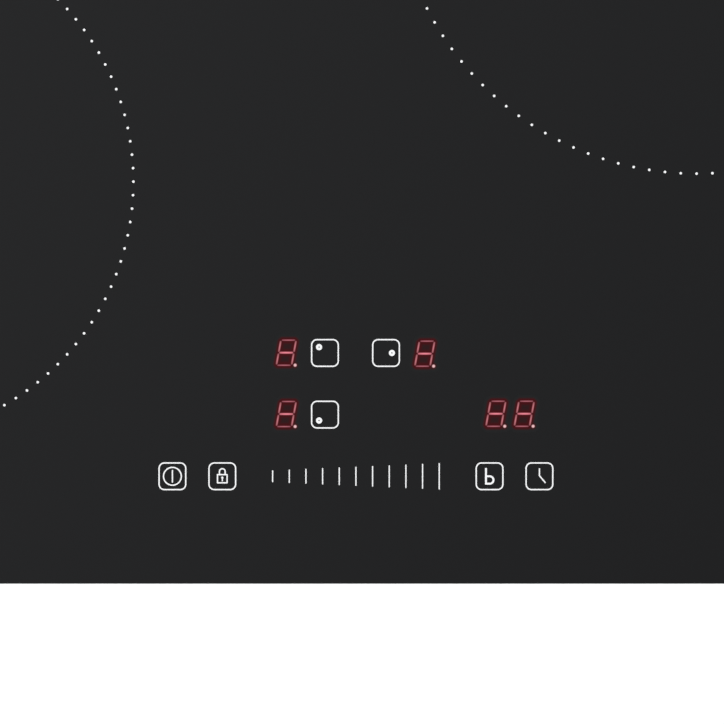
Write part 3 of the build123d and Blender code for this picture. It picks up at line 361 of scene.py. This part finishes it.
# %% The glass
glass_gloss, gloss_clouds, gloss_low, gloss_high = 0.06, 9.0, 0.045, 0.085
glass_finish = finish("black_glass_ceramic", (0.004, 0.004, 0.0045), glass_gloss, Ior=1.52)
vary(glass_finish, noise(glass_finish, gloss_clouds, 4.0), "Roughness", gloss_low, gloss_high)
raise_by(glass_finish, noise(glass_finish, 22.0, 2.0), 0.02 * mm, 0.25)
dress(glass_finish, "glass_plate")

# %% [markdown]
# ## White enamel print
# The rings and the keys are screen printed with a ceramic ink and fired in. Ink that is fired is matt, a
# touch uneven in thickness, and stands a few hundredths of a millimetre proud, which the frame already has.

# %% The print
enamel = finish("white_enamel_print", (0.80, 0.805, 0.81), 0.5)
vary(enamel, noise(enamel, 2600.0, 2.0), "Base Color", (0.74, 0.745, 0.75), (0.86, 0.865, 0.87))
vary(enamel, noise(enamel, 900.0, 2.0), "Roughness", 0.4, 0.62)
raise_by(enamel, noise(enamel, 4000.0, 1.0), 0.01 * mm, 0.5)
dress(enamel, "zone_print", "control_print")

# %% [markdown]
# ## Red digits shining through the glass
# Each digit is a small display under the glass: seven bars and a point, leaning to the right. The dark glass
# lets the bars through as thin pink lines, and the display's dark red window shows between and round them.
# A film over each display carries that light as an attribute, worked out from the distance to the nearest
# bar. At its rim the film glows with a painted reflection, as bright as the glass beside it, so that no edge
# shows.

# %% The light of one digit
digit_wide, digit_tall, digit_lean = 5.3 * mm, 8.75 * mm, tan(radians(10.3))
bar_gap, bar_blur, bar_fading = 0.55 * mm, 0.35 * mm, 1.4
middle_half, side_half, end_half = 0.28 * mm, 0.25 * mm, 0.17 * mm
middle_light, side_light, end_light = (0.90, 0.25, 0.31), (0.56, 0.18, 0.21), (0.50, 0.15, 0.19)
# The rim's grey is a painted reflection: the film glows as bright as the glass beside it looks when it
# reflects the room.
window_light, inner_light, rim_painted_reflection = (0.056, 0.0, 0.002), (0.024, 0.006, 0.007), (0.0125, 0.013, 0.0137)
point_light, point_x, point_y, point_radius = (0.86, 0.52, 0.54), 3.1 * mm, -4.35 * mm, 0.5 * mm
window_edge, window_blur, film_reach = 1.15 * mm, 1.3 * mm, 2.1 * mm
outer_fading = 0.15


def digit_bars():
    """For each bar: its two ends from the digit's middle, half its thickness and its colour."""
    half, tall = digit_wide / 2, digit_tall / 2
    bars = []
    for row in (-1, 0, 1):
        x, y, run = row * tall * digit_lean, row * tall, half - bar_gap
        thick, light = (end_half, end_light) if row else (middle_half, middle_light)
        bars.append(((x - run, y), (x + run, y), thick, light))
    for side in (-1, 1):
        for low, high in ((-tall, 0), (0, tall)):
            foot, head = low + bar_gap, high - bar_gap
            start, end = (side * half + foot * digit_lean, foot), (side * half + head * digit_lean, head)
            bars.append((start, end, side_half, side_light))
    return bars


def soft_step(distance, edge, blur):
    """1 inside the edge and 0 outside it, with a smooth change that is blur wide."""
    t = np.clip((edge + blur / 2 - distance) / blur, 0, 1)
    return t * t * (3 - 2 * t)


def mix(share, first, second):
    """share of the first colour and the rest of the second."""
    return share[..., None] * np.array(first) + (1 - share[..., None]) * np.array(second)


def to_bar(x, y, start, end):
    """How far along a bar each point lies, from 0 to 1, and how far it is from the bar's middle line."""
    (start_x, start_y), run_x, run_y = start, end[0] - start[0], end[1] - start[1]
    share = ((x - start_x) * run_x + (y - start_y) * run_y) / (run_x**2 + run_y**2)
    share = np.clip(share, 0, 1)
    return share, np.hypot(x - start_x - share * run_x, y - start_y - share * run_y)


def outside_digit(x, y):
    """How far each point is outside the leaning box round the bars; negative inside it."""
    return np.maximum(np.abs(x - y * digit_lean) - digit_wide / 2, np.abs(y) - digit_tall / 2)


def bars_and_point(x, y):
    """The light of one digit's bars and point, how much of a place they cover, and how far the nearest is.

    Each bar is brightest at its middle and fades by the square of the way to its ends.
    """
    from_point = np.hypot(x - point_x, y - point_y)
    lit = soft_step(from_point, point_radius, bar_blur)
    light = lit[..., None] * np.array(point_light)
    nearest = from_point
    for start, end, thick, colour in digit_bars():
        share, distance = to_bar(x, y, start, end)
        level = soft_step(distance, thick, bar_blur)
        faded = level * (1 - bar_fading * (share - 0.5) ** 2)
        light = np.maximum(light, faded[..., None] * np.array(colour))
        lit = np.maximum(lit, level)
        nearest = np.minimum(nearest, distance)
    return light, lit, nearest


def display_light(x, y, middles):
    """The bars over the window's red, which fades from the nearest bar to the inside or to the rim's grey, a
    painted reflection of the room.

    Outside the digit it fades sooner: there each millimetre counts for a little more.
    """
    digits = [bars_and_point(x - middle_x, y - middle_y) for middle_x, middle_y in middles]
    light, lit, nearest = (np.stack(part) for part in zip(*digits))
    light, lit, nearest = light.max(0), lit.max(0)[..., None], nearest.min(0)
    outside = np.min([outside_digit(x - middle_x, y - middle_y) for middle_x, middle_y in middles], axis=0)
    far = mix(soft_step(outside, 0, window_blur), inner_light, rim_painted_reflection)
    faded = nearest + outer_fading * np.clip(outside, 0, None)
    near = soft_step(faded, window_edge, window_blur)[..., None]
    behind = near * np.array(window_light) + (1 - near) * far
    return light + (1 - lit) * behind, np.minimum(nearest, outside + film_reach)


# %% A lit film over each digit
# The film's emission carries the digits' light and, towards its rim, a painted reflection.
lit_glass = finish("lit_display_window", (0.001, 0.001, 0.001), glass_gloss, Ior=1.3, Emission_Strength=1.0)
vary(lit_glass, noise(lit_glass, gloss_clouds, 4.0), "Roughness", gloss_low, gloss_high)
attribute = add(lit_glass.node_tree, "ShaderNodeAttribute", attribute_name="light")
shader = lit_glass.node_tree.nodes["Principled BSDF"]
lit_glass.node_tree.links.new(attribute.outputs["Color"], shader.inputs["Emission Color"])
film_half_wide, film_half_tall, film_step, film_lift = 6.4 * mm, 7.0 * mm, 0.15 * mm, 0.01 * mm


def lit_film(name, middles):
    """A flat grid over a row of digits, cut to their outline. Its attribute light is each point's light."""
    (first_x, first_y), (last_x, _) = middles[0], middles[-1]
    across = np.arange(first_x - film_half_wide, last_x + film_half_wide, film_step)
    x, y = np.meshgrid(across, np.arange(first_y - film_half_tall, first_y + film_half_tall, film_step))
    points = np.stack([x, y, np.full_like(x, glass_high.z + film_lift)], -1)
    far = display_light(x[:-1, :-1] + film_step / 2, y[:-1, :-1] + film_step / 2, middles)[1]
    film = surface(name, points, keep=far < film_reach)
    places = np.empty(3 * len(film.data.vertices), dtype=np.float32)
    film.data.vertices.foreach_get("co", places)
    places = places.reshape(-1, 3)
    light = display_light(places[:, 0], places[:, 1], middles)[0]
    colours = film.data.attributes.new("light", "FLOAT_COLOR", "POINT")
    opaque = np.hstack([light, np.ones((len(light), 1))])
    colours.data.foreach_set("color", opaque.reshape(-1).astype(np.float32))
    film.data.shade_flat()
    shell = film.modifiers.new("film", "SOLIDIFY")
    shell.thickness, shell.offset = 0.8 * film_lift, -1
    fit_out(film, lit_glass, "hob")


# The digits stand beside the keys whose zone they show; the last two are the timer's.
key_half, key_row = 4.875 * mm, 21.5 * mm
front_row = print_low.y + key_half
middle_row, back_row = front_row + key_row, front_row + 2 * key_row
left_digit_x, right_digit_x, timer_x, timer_y = -24.3 * mm, 24.0 * mm, (48.8 * mm, 58.7 * mm), 0.3 * mm
lit_film("digit_rear_left", [(left_digit_x, back_row + 0.1 * mm)])
lit_film("digit_right", [(right_digit_x, back_row - 0.25 * mm)])
lit_film("digit_front_left", [(left_digit_x, middle_row + 0.2 * mm)])
lit_film("digits_timer", [(x, middle_row + timer_y) for x in timer_x])

# %% The displays under the glass
under_glass_red = finish("lit_segments", (0.35, 0.01, 0.015), 0.4, Emission_Strength=4.0)
vary(under_glass_red, noise(under_glass_red, 700.0), "Emission Color", (0.9, 0.02, 0.03), (1.0, 0.10, 0.10))
dress(under_glass_red, "led_segments")
display_case = finish("display_case", (0.02, 0.021, 0.023), 0.3, Coat_Weight=0.3)
vary(display_case, noise(display_case, 300.0), "Roughness", 0.22, 0.4)
raise_by(display_case, noise(display_case, 5000.0), 0.004 * mm)
dress(display_case, "led_displays")

# %% [markdown]
# ## The foam seal
# A strip of closed-cell foam is stuck under the rim of the glass, so that no spilt water runs down past the
# worktop. Cut foam has soft edges and a fine cell pattern, and its side is never quite straight. So its
# outline, a rectangle with rounded sides, is carried round the rim along a rounded rectangle.


# %% A rounded rectangle
def rounded_rectangle(half_x, half_y, corner, corner_steps=8, side_step=6 * mm):
    """Points round a rectangle with round corners, and each point's direction outwards."""
    places, outward = [], []
    ends = [(1, 1), (-1, 1), (-1, -1), (1, -1)]
    for index, (sign_x, sign_y) in enumerate(ends):
        angle = np.linspace(0, pi / 2, corner_steps) + index * pi / 2
        normal = np.stack([np.cos(angle), np.sin(angle)], -1)
        middle = np.array([sign_x * (half_x - corner), sign_y * (half_y - corner)])
        places.append(middle + corner * normal)
        side = 2 * ((half_x if index % 2 == 0 else half_y) - corner)
        share = np.linspace(0, 1, max(round(side / side_step), 2))[1:-1, None]
        forward = np.array([-normal[-1, 1], normal[-1, 0]])
        places.append(places[-1][-1] + share * side * forward)
        outward += [normal, np.repeat(normal[-1:], len(share), axis=0)]
    return np.concatenate(places), np.concatenate(outward)


# %% The seal
seal_low, seal_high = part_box("worktop_seal")
seal_half, seal_thick, seal_corner = 5 * mm, seal_high.z - seal_low.z, 6 * mm
softness, profile_points, sway_size, sway_x, sway_y = 0.35, 20, 0.12 * mm, 61, 47
route, outward = rounded_rectangle(seal_high.x - seal_half, seal_high.y - seal_half, seal_corner)
turn = np.linspace(0, 2 * pi, profile_points, endpoint=False)


def softened(wave):
    """A cosine or a sine squared off towards a box: its sign times its size to a small power."""
    return np.sign(wave) * np.abs(wave) ** softness


# The sway is a slow wave along the rim that only ever draws the foam inwards.
sway = sway_size * np.sin(route[:, 0] * sway_x + route[:, 1] * sway_y) - sway_size
across = (seal_half * softened(np.cos(turn)))[None, :] + sway[:, None]
seal_middle = (seal_low.z + seal_high.z) / 2
height = np.broadcast_to(seal_middle + seal_thick / 2 * softened(np.sin(turn)), across.shape)
flat_place = route[:, None, :] + across[..., None] * outward[:, None, :]
seal_points = np.concatenate([flat_place, height[..., None]], -1)
seal = surface("foam_seal", seal_points, close_rows=True, close_columns=True)
mend(seal)
foam = finish("closed_cell_foam", (0.03, 0.03, 0.032), 0.9)
vary(foam, noise(foam, 500.0), "Base Color", (0.022, 0.022, 0.024), (0.05, 0.05, 0.052))
raise_by(foam, cells(foam, 2200.0, output="Distance"), 0.18 * mm)
fit_out(seal, foam, "hob", ["worktop_seal"])

# %% The touch pads' foam
pad_foam = finish("conductive_foam", (0.035, 0.035, 0.037), 0.95)
vary(pad_foam, noise(pad_foam, 900.0), "Base Color", (0.02, 0.02, 0.022), (0.06, 0.06, 0.062))
raise_by(pad_foam, cells(pad_foam, 3000.0, output="Distance"), 0.12 * mm)
dress(pad_foam, "touch_pads")

# %% [markdown]
# ## The coils
# An induction coil is a flat spiral of litz wire, a rope of hair-thin enamelled copper strands. The spiral
# is one formula: the radius grows by one wire's width in each turn. An oval is carried along it, and the
# twist of the strands is a bump that reads the UV map, slanted so that it winds round the wire.

# %% Litz wire
litz = finish("enamelled_litz", (0.55, 0.22, 0.10), 0.38, Metallic=0.9, Coat_Weight=0.25)
tree = litz.node_tree
uv_u, uv_v, _ = three_axes(tree, add(tree, "ShaderNodeTexCoord").outputs["UV"])
strands, lay = 9, 14 * mm
along_wire = calculate(tree, "MULTIPLY", uv_u, 2 * pi / lay)
round_wire = calculate(tree, "MULTIPLY", uv_v, 2 * pi * strands)
twist = calculate(tree, "ADD", along_wire, round_wire)
strand_wave = calculate(tree, "ADD", calculate(tree, "MULTIPLY", calculate(tree, "SINE", twist), 0.5), 0.5)
vary(litz, noise(litz, 420.0), "Roughness", 0.3, 0.5)
# Darker where the twist's bump is low: painted shade in the grooves between the strands.
vary(litz, strand_wave, "Base Color", (0.30, 0.10, 0.045), (0.66, 0.30, 0.15), 0.0, 1.0)
raise_by(litz, strand_wave, 0.16 * mm)

# %% The three spirals
wire_pitch, inner_radius, points_per_turn = 3.1 * mm, 20 * mm, 60
wire_share_wide, wire_share_high = 0.485, 0.49


def litz_spiral(zone):
    """radius = inner + pitch * angle / a full turn, from the coil's inner rim to its outer one.

    The oval fills nearly all of the pitch and of the winding's height.
    """
    low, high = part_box(f"coil_winding_{zone}")
    outer = (high.x - low.x) / 2
    turns = round((outer - inner_radius) / wire_pitch)
    pitch = (outer - inner_radius) / turns
    angle = np.linspace(0, 2 * pi * (turns - 1), points_per_turn * (turns - 1))
    radius = inner_radius + pitch / 2 + pitch * angle / (2 * pi)
    radial = np.stack([np.cos(angle), np.sin(angle), np.zeros_like(angle)], -1)
    centre = np.array([(low.x + high.x) / 2, (low.y + high.y) / 2, (low.z + high.z) / 2])
    half_wide, half_high = wire_share_wide * pitch, wire_share_high * (high.z - low.z)
    coil = tube(f"litz_coil_{zone}", centre + radius[:, None] * radial, radial, half_wide, half_high)
    fit_out(coil, litz, "hob", [f"coil_winding_{zone}"])


for zone in zone_names:
    litz_spiral(zone)

# %% [markdown]
# ## The filter chokes
# Each choke is a ferrite ring with one layer of enamelled wire wound through it. The wire's path circles
# the ring's section many times while it goes once round the ring: two angles that run together.

# %% Rings and their windings
choke_wire = finish("enamelled_copper", (0.62, 0.26, 0.11), 0.25, Metallic=1.0, Coat_Weight=0.4)
vary(choke_wire, noise(choke_wire, 700.0), "Base Color", (0.50, 0.19, 0.08), (0.72, 0.33, 0.16))
choke_core = finish("coated_core", (0.02, 0.20, 0.09), 0.45)
vary(choke_core, noise(choke_core, 900.0), "Roughness", 0.35, 0.6)
raise_by(choke_core, noise(choke_core, 2500.0), 0.05 * mm)
choke_low, choke_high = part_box("filter_chokes")
ring_major, ring_minor, wire_radius, winds, points_per_wind = 12 * mm, 5 * mm, 0.55 * mm, 34, 16
choke_middles = {"rear": (0, 126 * mm), "front": (0, 85 * mm), "right": (190 * mm, -20 * mm)}
thin_sides = 8


def toroid(name, middle, minor, rows=64, columns=24):
    """(major + minor * cos(b)) round the ring, and minor * sin(b) up."""
    a = np.linspace(0, 2 * pi, rows, endpoint=False)[:, None]
    b = np.linspace(0, 2 * pi, columns, endpoint=False)[None, :]
    radius, height = ring_major + minor * np.cos(b), minor * np.sin(b) + 0 * a
    points = np.stack([radius * np.cos(a), radius * np.sin(a), height], -1) + middle
    ring = surface(name, points, close_rows=True, close_columns=True)
    mend(ring)
    return ring


def choke(name, x, y):
    """A core, and a wire that circles it winds times on its way round."""
    middle = np.array([x, y, (choke_low.z + choke_high.z) / 2])
    core = toroid(f"choke_core_{name}", middle, ring_minor - 2 * wire_radius)
    fit_out(core, choke_core, "hob", ["filter_chokes"])
    a = np.linspace(0, 2 * pi, winds * points_per_wind, endpoint=False)
    b = winds * a
    radial = np.stack([np.cos(a), np.sin(a), 0 * a], -1)
    outwards = np.cos(b)[:, None] * radial + np.sin(b)[:, None] * np.array([0, 0, 1])
    path = middle + ring_major * radial + (ring_minor - wire_radius) * outwards
    winding = tube(f"choke_winding_{name}", path, outwards, wire_radius, wire_radius, thin_sides, closed=True)
    fit_out(winding, choke_wire, "hob", ["filter_chokes"])


for choke_name, choke_place in choke_middles.items():
    choke(choke_name, *choke_place)

# %% [markdown]
# ## Steel, zinc and aluminium
# The tray and the rails are hot-dip galvanised sheet. Its zinc freezes in crystals, so it shows a patchwork
# of greys, each about half a centimetre across and with its own gloss: Voronoi cells. Brushed and extruded
# aluminium shows fine lines one way instead, which is noise squeezed along the other axes.

# %% Galvanised sheet
galvanised = finish("galvanised_steel", (0.55, 0.56, 0.57), 0.4, Metallic=0.9)
spangle = cells(galvanised, 170.0)
vary(galvanised, spangle, "Base Color", (0.42, 0.43, 0.44), (0.49, 0.50, 0.51), 0.2, 0.8)
vary(galvanised, spangle, "Roughness", 0.36, 0.46, 0.2, 0.8)
raise_by(galvanised, noise(galvanised, 1500.0), 0.012 * mm)
raise_by(galvanised, noise(galvanised, 14.0), 0.25 * mm, 0.3)
dress(galvanised, "base_tray", "side_rails", "cross_rails")

# %% Brackets and screws
bracket_names = [f"bracket_{end}_{side}" for end in ("front", "rear") for side in ("left", "right")]
bright_zinc = finish("bright_zinc", (0.66, 0.67, 0.69), 0.28, Metallic=1.0)
vary(bright_zinc, noise(bright_zinc, 160.0), "Roughness", 0.2, 0.4)
vary(bright_zinc, noise(bright_zinc, 60.0), "Base Color", (0.58, 0.60, 0.63), (0.74, 0.74, 0.74))
raise_by(bright_zinc, noise(bright_zinc, 2200.0, stretch=(1, 1, 0.05)), 0.008 * mm)
dress(bright_zinc, *bracket_names)
screw_zinc = finish("screw_zinc", (0.60, 0.60, 0.58), 0.3, Metallic=1.0)
vary(screw_zinc, noise(screw_zinc, 500.0), "Roughness", 0.22, 0.42)
vary(screw_zinc, noise(screw_zinc, 250.0), "Base Color", (0.50, 0.50, 0.49), (0.70, 0.70, 0.69))
dress(screw_zinc, "tray_screws", "post_screws", "fan_screws", "bracket_screws", "terminal_screws", "posts")

# %% [markdown]
# ## Sensor springs
# A small open spring holds each temperature sensor against the glass. When the glass goes on, the sensor is
# pushed down and the spring shortens, with its foot still on the coil former. So the spring stays with the
# hob. It is a helix of wire: even turns, an even rise.

# %% Springs
spring_steel = finish("spring_steel", (0.50, 0.50, 0.51), 0.25, Metallic=1.0)
vary(spring_steel, noise(spring_steel, 900.0), "Roughness", 0.18, 0.35)
spring_wire, spring_turns, points_per_spring_turn, press_travel = 0.25 * mm, 3, 30, 2 * mm


def spring(zone):
    """(radius * cos(a), radius * sin(a)) with an even rise, from the foot to the sensor."""
    low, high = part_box(f"sensor_spring_{zone}")
    foot = np.array([(low.x + high.x) / 2, (low.y + high.y) / 2, low.z])
    radius = (high.x - low.x) / 2 - spring_wire
    angle = np.linspace(0, 2 * pi * spring_turns, points_per_spring_turn * spring_turns)
    radial = np.stack([np.cos(angle), np.sin(angle), 0 * angle], -1)
    path = foot + radius * radial
    path[:, 2] = np.linspace(low.z + spring_wire, high.z - spring_wire, len(angle))
    coil = tube(f"sensor_coil_{zone}", path, radial, spring_wire, spring_wire, thin_sides)
    fit_out(coil, spring_steel, "hob", [f"sensor_spring_{zone}"])
    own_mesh(coil)


for zone in zone_names:
    spring(zone)

# %% Aluminium
brushed = finish("brushed_aluminium", (0.74, 0.75, 0.76), 0.35, Metallic=1.0)
brush_lines = noise(brushed, 1800.0, 2.0, (0.015, 1, 1))
vary(brushed, brush_lines, "Roughness", 0.26, 0.46)
vary(brushed, brush_lines, "Base Color", (0.66, 0.67, 0.68), (0.80, 0.81, 0.82))
raise_by(brushed, brush_lines, 0.01 * mm, 0.6)
dress(brushed, "coil_plate")
extruded = finish("extruded_aluminium", (0.70, 0.71, 0.72), 0.4, Metallic=1.0)
die_lines = noise(extruded, 1100.0, 2.0, (1, 0.01, 1))
vary(extruded, die_lines, "Roughness", 0.3, 0.5)
vary(extruded, die_lines, "Base Color", (0.60, 0.61, 0.62), (0.78, 0.79, 0.80))
raise_by(extruded, die_lines, 0.02 * mm, 0.6)
dress(extruded, "heat_sink_left", "heat_sink_right")

# %% Tinned brass
brass = finish("tinned_brass", (0.72, 0.62, 0.40), 0.3, Metallic=1.0)
vary(brass, noise(brass, 600.0), "Base Color", (0.62, 0.50, 0.28), (0.78, 0.72, 0.55))
vary(brass, noise(brass, 900.0), "Roughness", 0.22, 0.42)
dress(brass, "lead_terminals")

# %% [markdown]
# ## Moulded plastics
# A moulded part takes the spark-eroded grain of its mould: bumps a few hundredths of a millimetre high.
# One function makes them all, with the resin's colour, its gloss and the size of the grain as its arguments.


# %% Plastics
def moulded(name, colour, roughness, grain, *names, **inputs):
    """A resin with a fine grain, whose colour and gloss drift a little where it flowed in the mould."""
    made = finish(name, colour, roughness, **inputs)
    darker, lighter = tuple(0.86 * part for part in colour), tuple(min(1.12 * part, 1) for part in colour)
    vary(made, noise(made, 45.0), "Base Color", darker, lighter)
    vary(made, noise(made, 350.0), "Roughness", roughness - 0.07, roughness + 0.08)
    raise_by(made, noise(made, grain, 2.0), 0.03 * mm, 0.7)
    dress(made, *names)


moulded("black_fan_resin", (0.016, 0.016, 0.018), 0.42, 2600.0, "fan_housing_left", "fan_housing_right")
moulded("fan_blade_resin", (0.024, 0.024, 0.027), 0.36, 3000.0, "fan_rotor_left", "fan_rotor_right")
moulded("former_resin", (0.50, 0.47, 0.40), 0.5, 1800.0, *[f"coil_former_{zone}" for zone in zone_names])
moulded("carrier_resin", (0.42, 0.43, 0.44), 0.48, 2200.0, "touch_board_carrier")
moulded("terminal_box_resin", (0.46, 0.47, 0.48), 0.46, 2000.0, "terminal_box")
moulded("terminal_block_resin", (0.66, 0.65, 0.60), 0.42, 2400.0, "terminal_block", Subsurface_Weight=0.1)
moulded("cover_resin", (0.14, 0.145, 0.15), 0.44, 1500.0, "terminal_cover")
moulded("gland_resin", (0.02, 0.02, 0.022), 0.4, 2600.0, "cord_gland")
moulded("connector_resin", (0.74, 0.72, 0.64), 0.4, 2600.0, "board_connectors", Subsurface_Weight=0.15)
moulded("transistor_epoxy", (0.018, 0.018, 0.019), 0.5, 3500.0, "power_semiconductors")
moulded("capacitor_case", (0.62, 0.36, 0.04), 0.38, 2000.0, "film_capacitors", Coat_Weight=0.1)
moulded("sensor_ceramic", (0.78, 0.77, 0.73), 0.5, 4000.0, *[f"sensor_{zone}" for zone in zone_names])
moulded("silicone_bead", (0.03, 0.031, 0.033), 0.32, 300.0, "glass_adhesive", Subsurface_Weight=0.1)

# %% [markdown]
# ## Ferrite and mica
# Ferrite is a pressed black ceramic with tiny pits. Mica paper is made of flakes, each a few millimetres
# across and lying at its own slight angle, so it glitters in patches: flat cells with a different gloss each.

# %% Ferrite
ferrite = finish("ferrite", (0.03, 0.03, 0.033), 0.5, Metallic=0.2)
vary(ferrite, noise(ferrite, 220.0), "Roughness", 0.38, 0.62)
vary(ferrite, noise(ferrite, 60.0), "Base Color", (0.022, 0.022, 0.025), (0.045, 0.045, 0.048))
raise_by(ferrite, cells(ferrite, 1600.0, output="Distance"), 0.05 * mm, 0.6)
dress(ferrite, "ferrite_bars")

# %% Mica
mica = finish("mica_paper", (0.48, 0.43, 0.34), 0.35, Metallic=0.25, Coat_Weight=0.3)
flake_scale = 420.0
flakes = cells(mica, flake_scale)
vary(mica, flakes, "Base Color", (0.44, 0.39, 0.31), (0.58, 0.53, 0.43), 0.2, 0.8)
vary(mica, flakes, "Roughness", 0.25, 0.45, 0.2, 0.8)
raise_by(mica, cells(mica, flake_scale, output="Distance"), 0.03 * mm, 0.6)
dress(mica, "mica_discs")

# %% [markdown]
# ## Circuit boards
# A board is glass fibre under a green solder mask, with the copper tracks showing as paler, raised paths and
# the solder pads as bright dots. The joints of a fine brick pattern with long bricks give runs of parallel
# tracks that turn and stop, noise keeps them to some parts of the board, and the middles of small cells
# give the pads.

# %% Boards
board_names = ["power_board_left", "power_board_right", "filter_board", "touch_board"]
board_finish = finish("solder_mask", (0.01, 0.14, 0.06), 0.3, Coat_Weight=0.35)
routed_clouds, routed_above, pad_cells, pad_reach = 55.0, 0.47, 170.0, 0.13
# A Mix node has sockets for numbers, vectors and colours: these are the places of its colour sockets.
first_colour, second_colour, mixed_colour = 6, 7, 2
tree = board_finish.node_tree
tracks = add(tree, "ShaderNodeTexBrick", offset=0.37, squash=0.7)
for socket, value in (("Scale", 150.0), ("Mortar Size", 0.03), ("Mortar Smooth", 0.2), ("Brick Width", 3.1)):
    tracks.inputs[socket].default_value = value
tree.links.new(place_on(board_finish), tracks.inputs["Vector"])
routed = calculate(tree, "GREATER_THAN", noise(board_finish, routed_clouds, 0.0), routed_above)
copper = calculate(tree, "MULTIPLY", tracks.outputs["Fac"], routed)
mask = add(tree, "ShaderNodeMix", data_type="RGBA")
mask.inputs[first_colour].default_value = (0.008, 0.115, 0.045, 1)
mask.inputs[second_colour].default_value = (0.018, 0.235, 0.10, 1)
tree.links.new(copper, mask.inputs["Factor"])
pads = calculate(tree, "LESS_THAN", cells(board_finish, pad_cells, output="Distance"), pad_reach)
board_colour = add(tree, "ShaderNodeMix", data_type="RGBA")
board_colour.inputs[second_colour].default_value = (0.62, 0.63, 0.62, 1)
tree.links.new(pads, board_colour.inputs["Factor"])
tree.links.new(mask.outputs[mixed_colour], board_colour.inputs[first_colour])
shader = tree.nodes["Principled BSDF"]
tree.links.new(board_colour.outputs[mixed_colour], shader.inputs["Base Color"])
tree.links.new(pads, shader.inputs["Metallic"])
raise_by(board_finish, copper, 0.035 * mm)
raise_by(board_finish, pads, 0.06 * mm, 0.6)
vary(board_finish, noise(board_finish, 300.0), "Roughness", 0.24, 0.42)
dress(board_finish, *board_names)

# %% [markdown]
# ## Wires
# The coil leads wear a woven glass sleeve, the small signal wires are plain white, and the supply wires are
# brown. The ribbon's wires lie side by side, so it is ribbed across and has one red edge.

# %% Wires
sleeve = finish("woven_sleeve", (0.72, 0.70, 0.63), 0.75, Sheen_Weight=0.3)
weave = cells(sleeve, 1500.0, output="Distance")
# Darker towards the cell edges, which the bump sinks into grooves: painted shade in the weave's hollows.
vary(sleeve, weave, "Base Color", (0.80, 0.78, 0.71), (0.50, 0.48, 0.42), 0.1, 0.8)
raise_by(sleeve, weave, -0.15 * mm)
dress(sleeve, "coil_leads")
moulded("white_wire_sleeve", (0.70, 0.70, 0.68), 0.42, 1200.0, "signal_leads")
moulded("brown_wire_sleeve", (0.16, 0.065, 0.03), 0.4, 1200.0, "mains_wires")
ribbon_low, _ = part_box("display_ribbon")
ribbon = finish("ribbon_cable", (0.38, 0.38, 0.39), 0.45)
tree = ribbon.node_tree
ribbon_x, _, _ = three_axes(tree, place_on(ribbon))
wire_step = 1.2 * mm
wave = calculate(tree, "SINE", calculate(tree, "MULTIPLY", ribbon_x, pi / wire_step))
rib = calculate(tree, "ABSOLUTE", wave)
red_edge = calculate(tree, "GREATER_THAN", ribbon_x, ribbon_low.x + wire_step)
vary(ribbon, red_edge, "Base Color", (0.55, 0.03, 0.03), (0.38, 0.38, 0.39), 0.0, 1.0)
vary(ribbon, noise(ribbon, 300.0), "Roughness", 0.38, 0.55)
raise_by(ribbon, rib, 0.3 * mm)
dress(ribbon, "display_ribbon")

# %% [markdown]
# ## A blank label
# Every hob has a rating label under it. This one is left blank: a silvery film with an empty ruled table.
# It is a disc of rings shrunk from a rounded rectangle's outline to its middle, with a little thickness.

# %% The label
tray_low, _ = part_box("base_tray")
floor_height, label_sink = 3 * mm, 0.01 * mm
label_half_x, label_half_y, label_corner, label_thick = 48 * mm, 27 * mm, 3 * mm, 0.12 * mm
label_rings, label_middle = 12, np.array([-60 * mm, 110 * mm])
outline, _ = rounded_rectangle(label_half_x, label_half_y, label_corner)
shrunk = np.linspace(0, 1, label_rings)[:, None, None]
flat = label_middle + shrunk * outline[None]
heights = np.full((*flat.shape[:2], 1), tray_low.z + floor_height - label_sink)
label = surface("blank_label", np.concatenate([flat, heights], -1), close_columns=True)
mend(label)
shell = label.modifiers.new("film", "SOLIDIFY")
shell.thickness, shell.offset = label_thick, 0
label_finish = finish("silver_film", (0.66, 0.67, 0.68), 0.35, Metallic=0.6)
tree = label_finish.node_tree
ruled = add(tree, "ShaderNodeTexBrick", offset=0.0)
for socket, value in (("Scale", 90.0), ("Mortar Size", 0.012), ("Brick Width", 2.0), ("Row Height", 0.6)):
    ruled.inputs[socket].default_value = value
tree.links.new(place_on(label_finish), ruled.inputs["Vector"])
vary(label_finish, ruled.outputs["Fac"], "Base Color", (0.66, 0.67, 0.68), (0.05, 0.05, 0.05), 0.0, 1.0)
vary(label_finish, noise(label_finish, 200.0), "Roughness", 0.28, 0.45)
fit_out(label, label_finish, "hob")
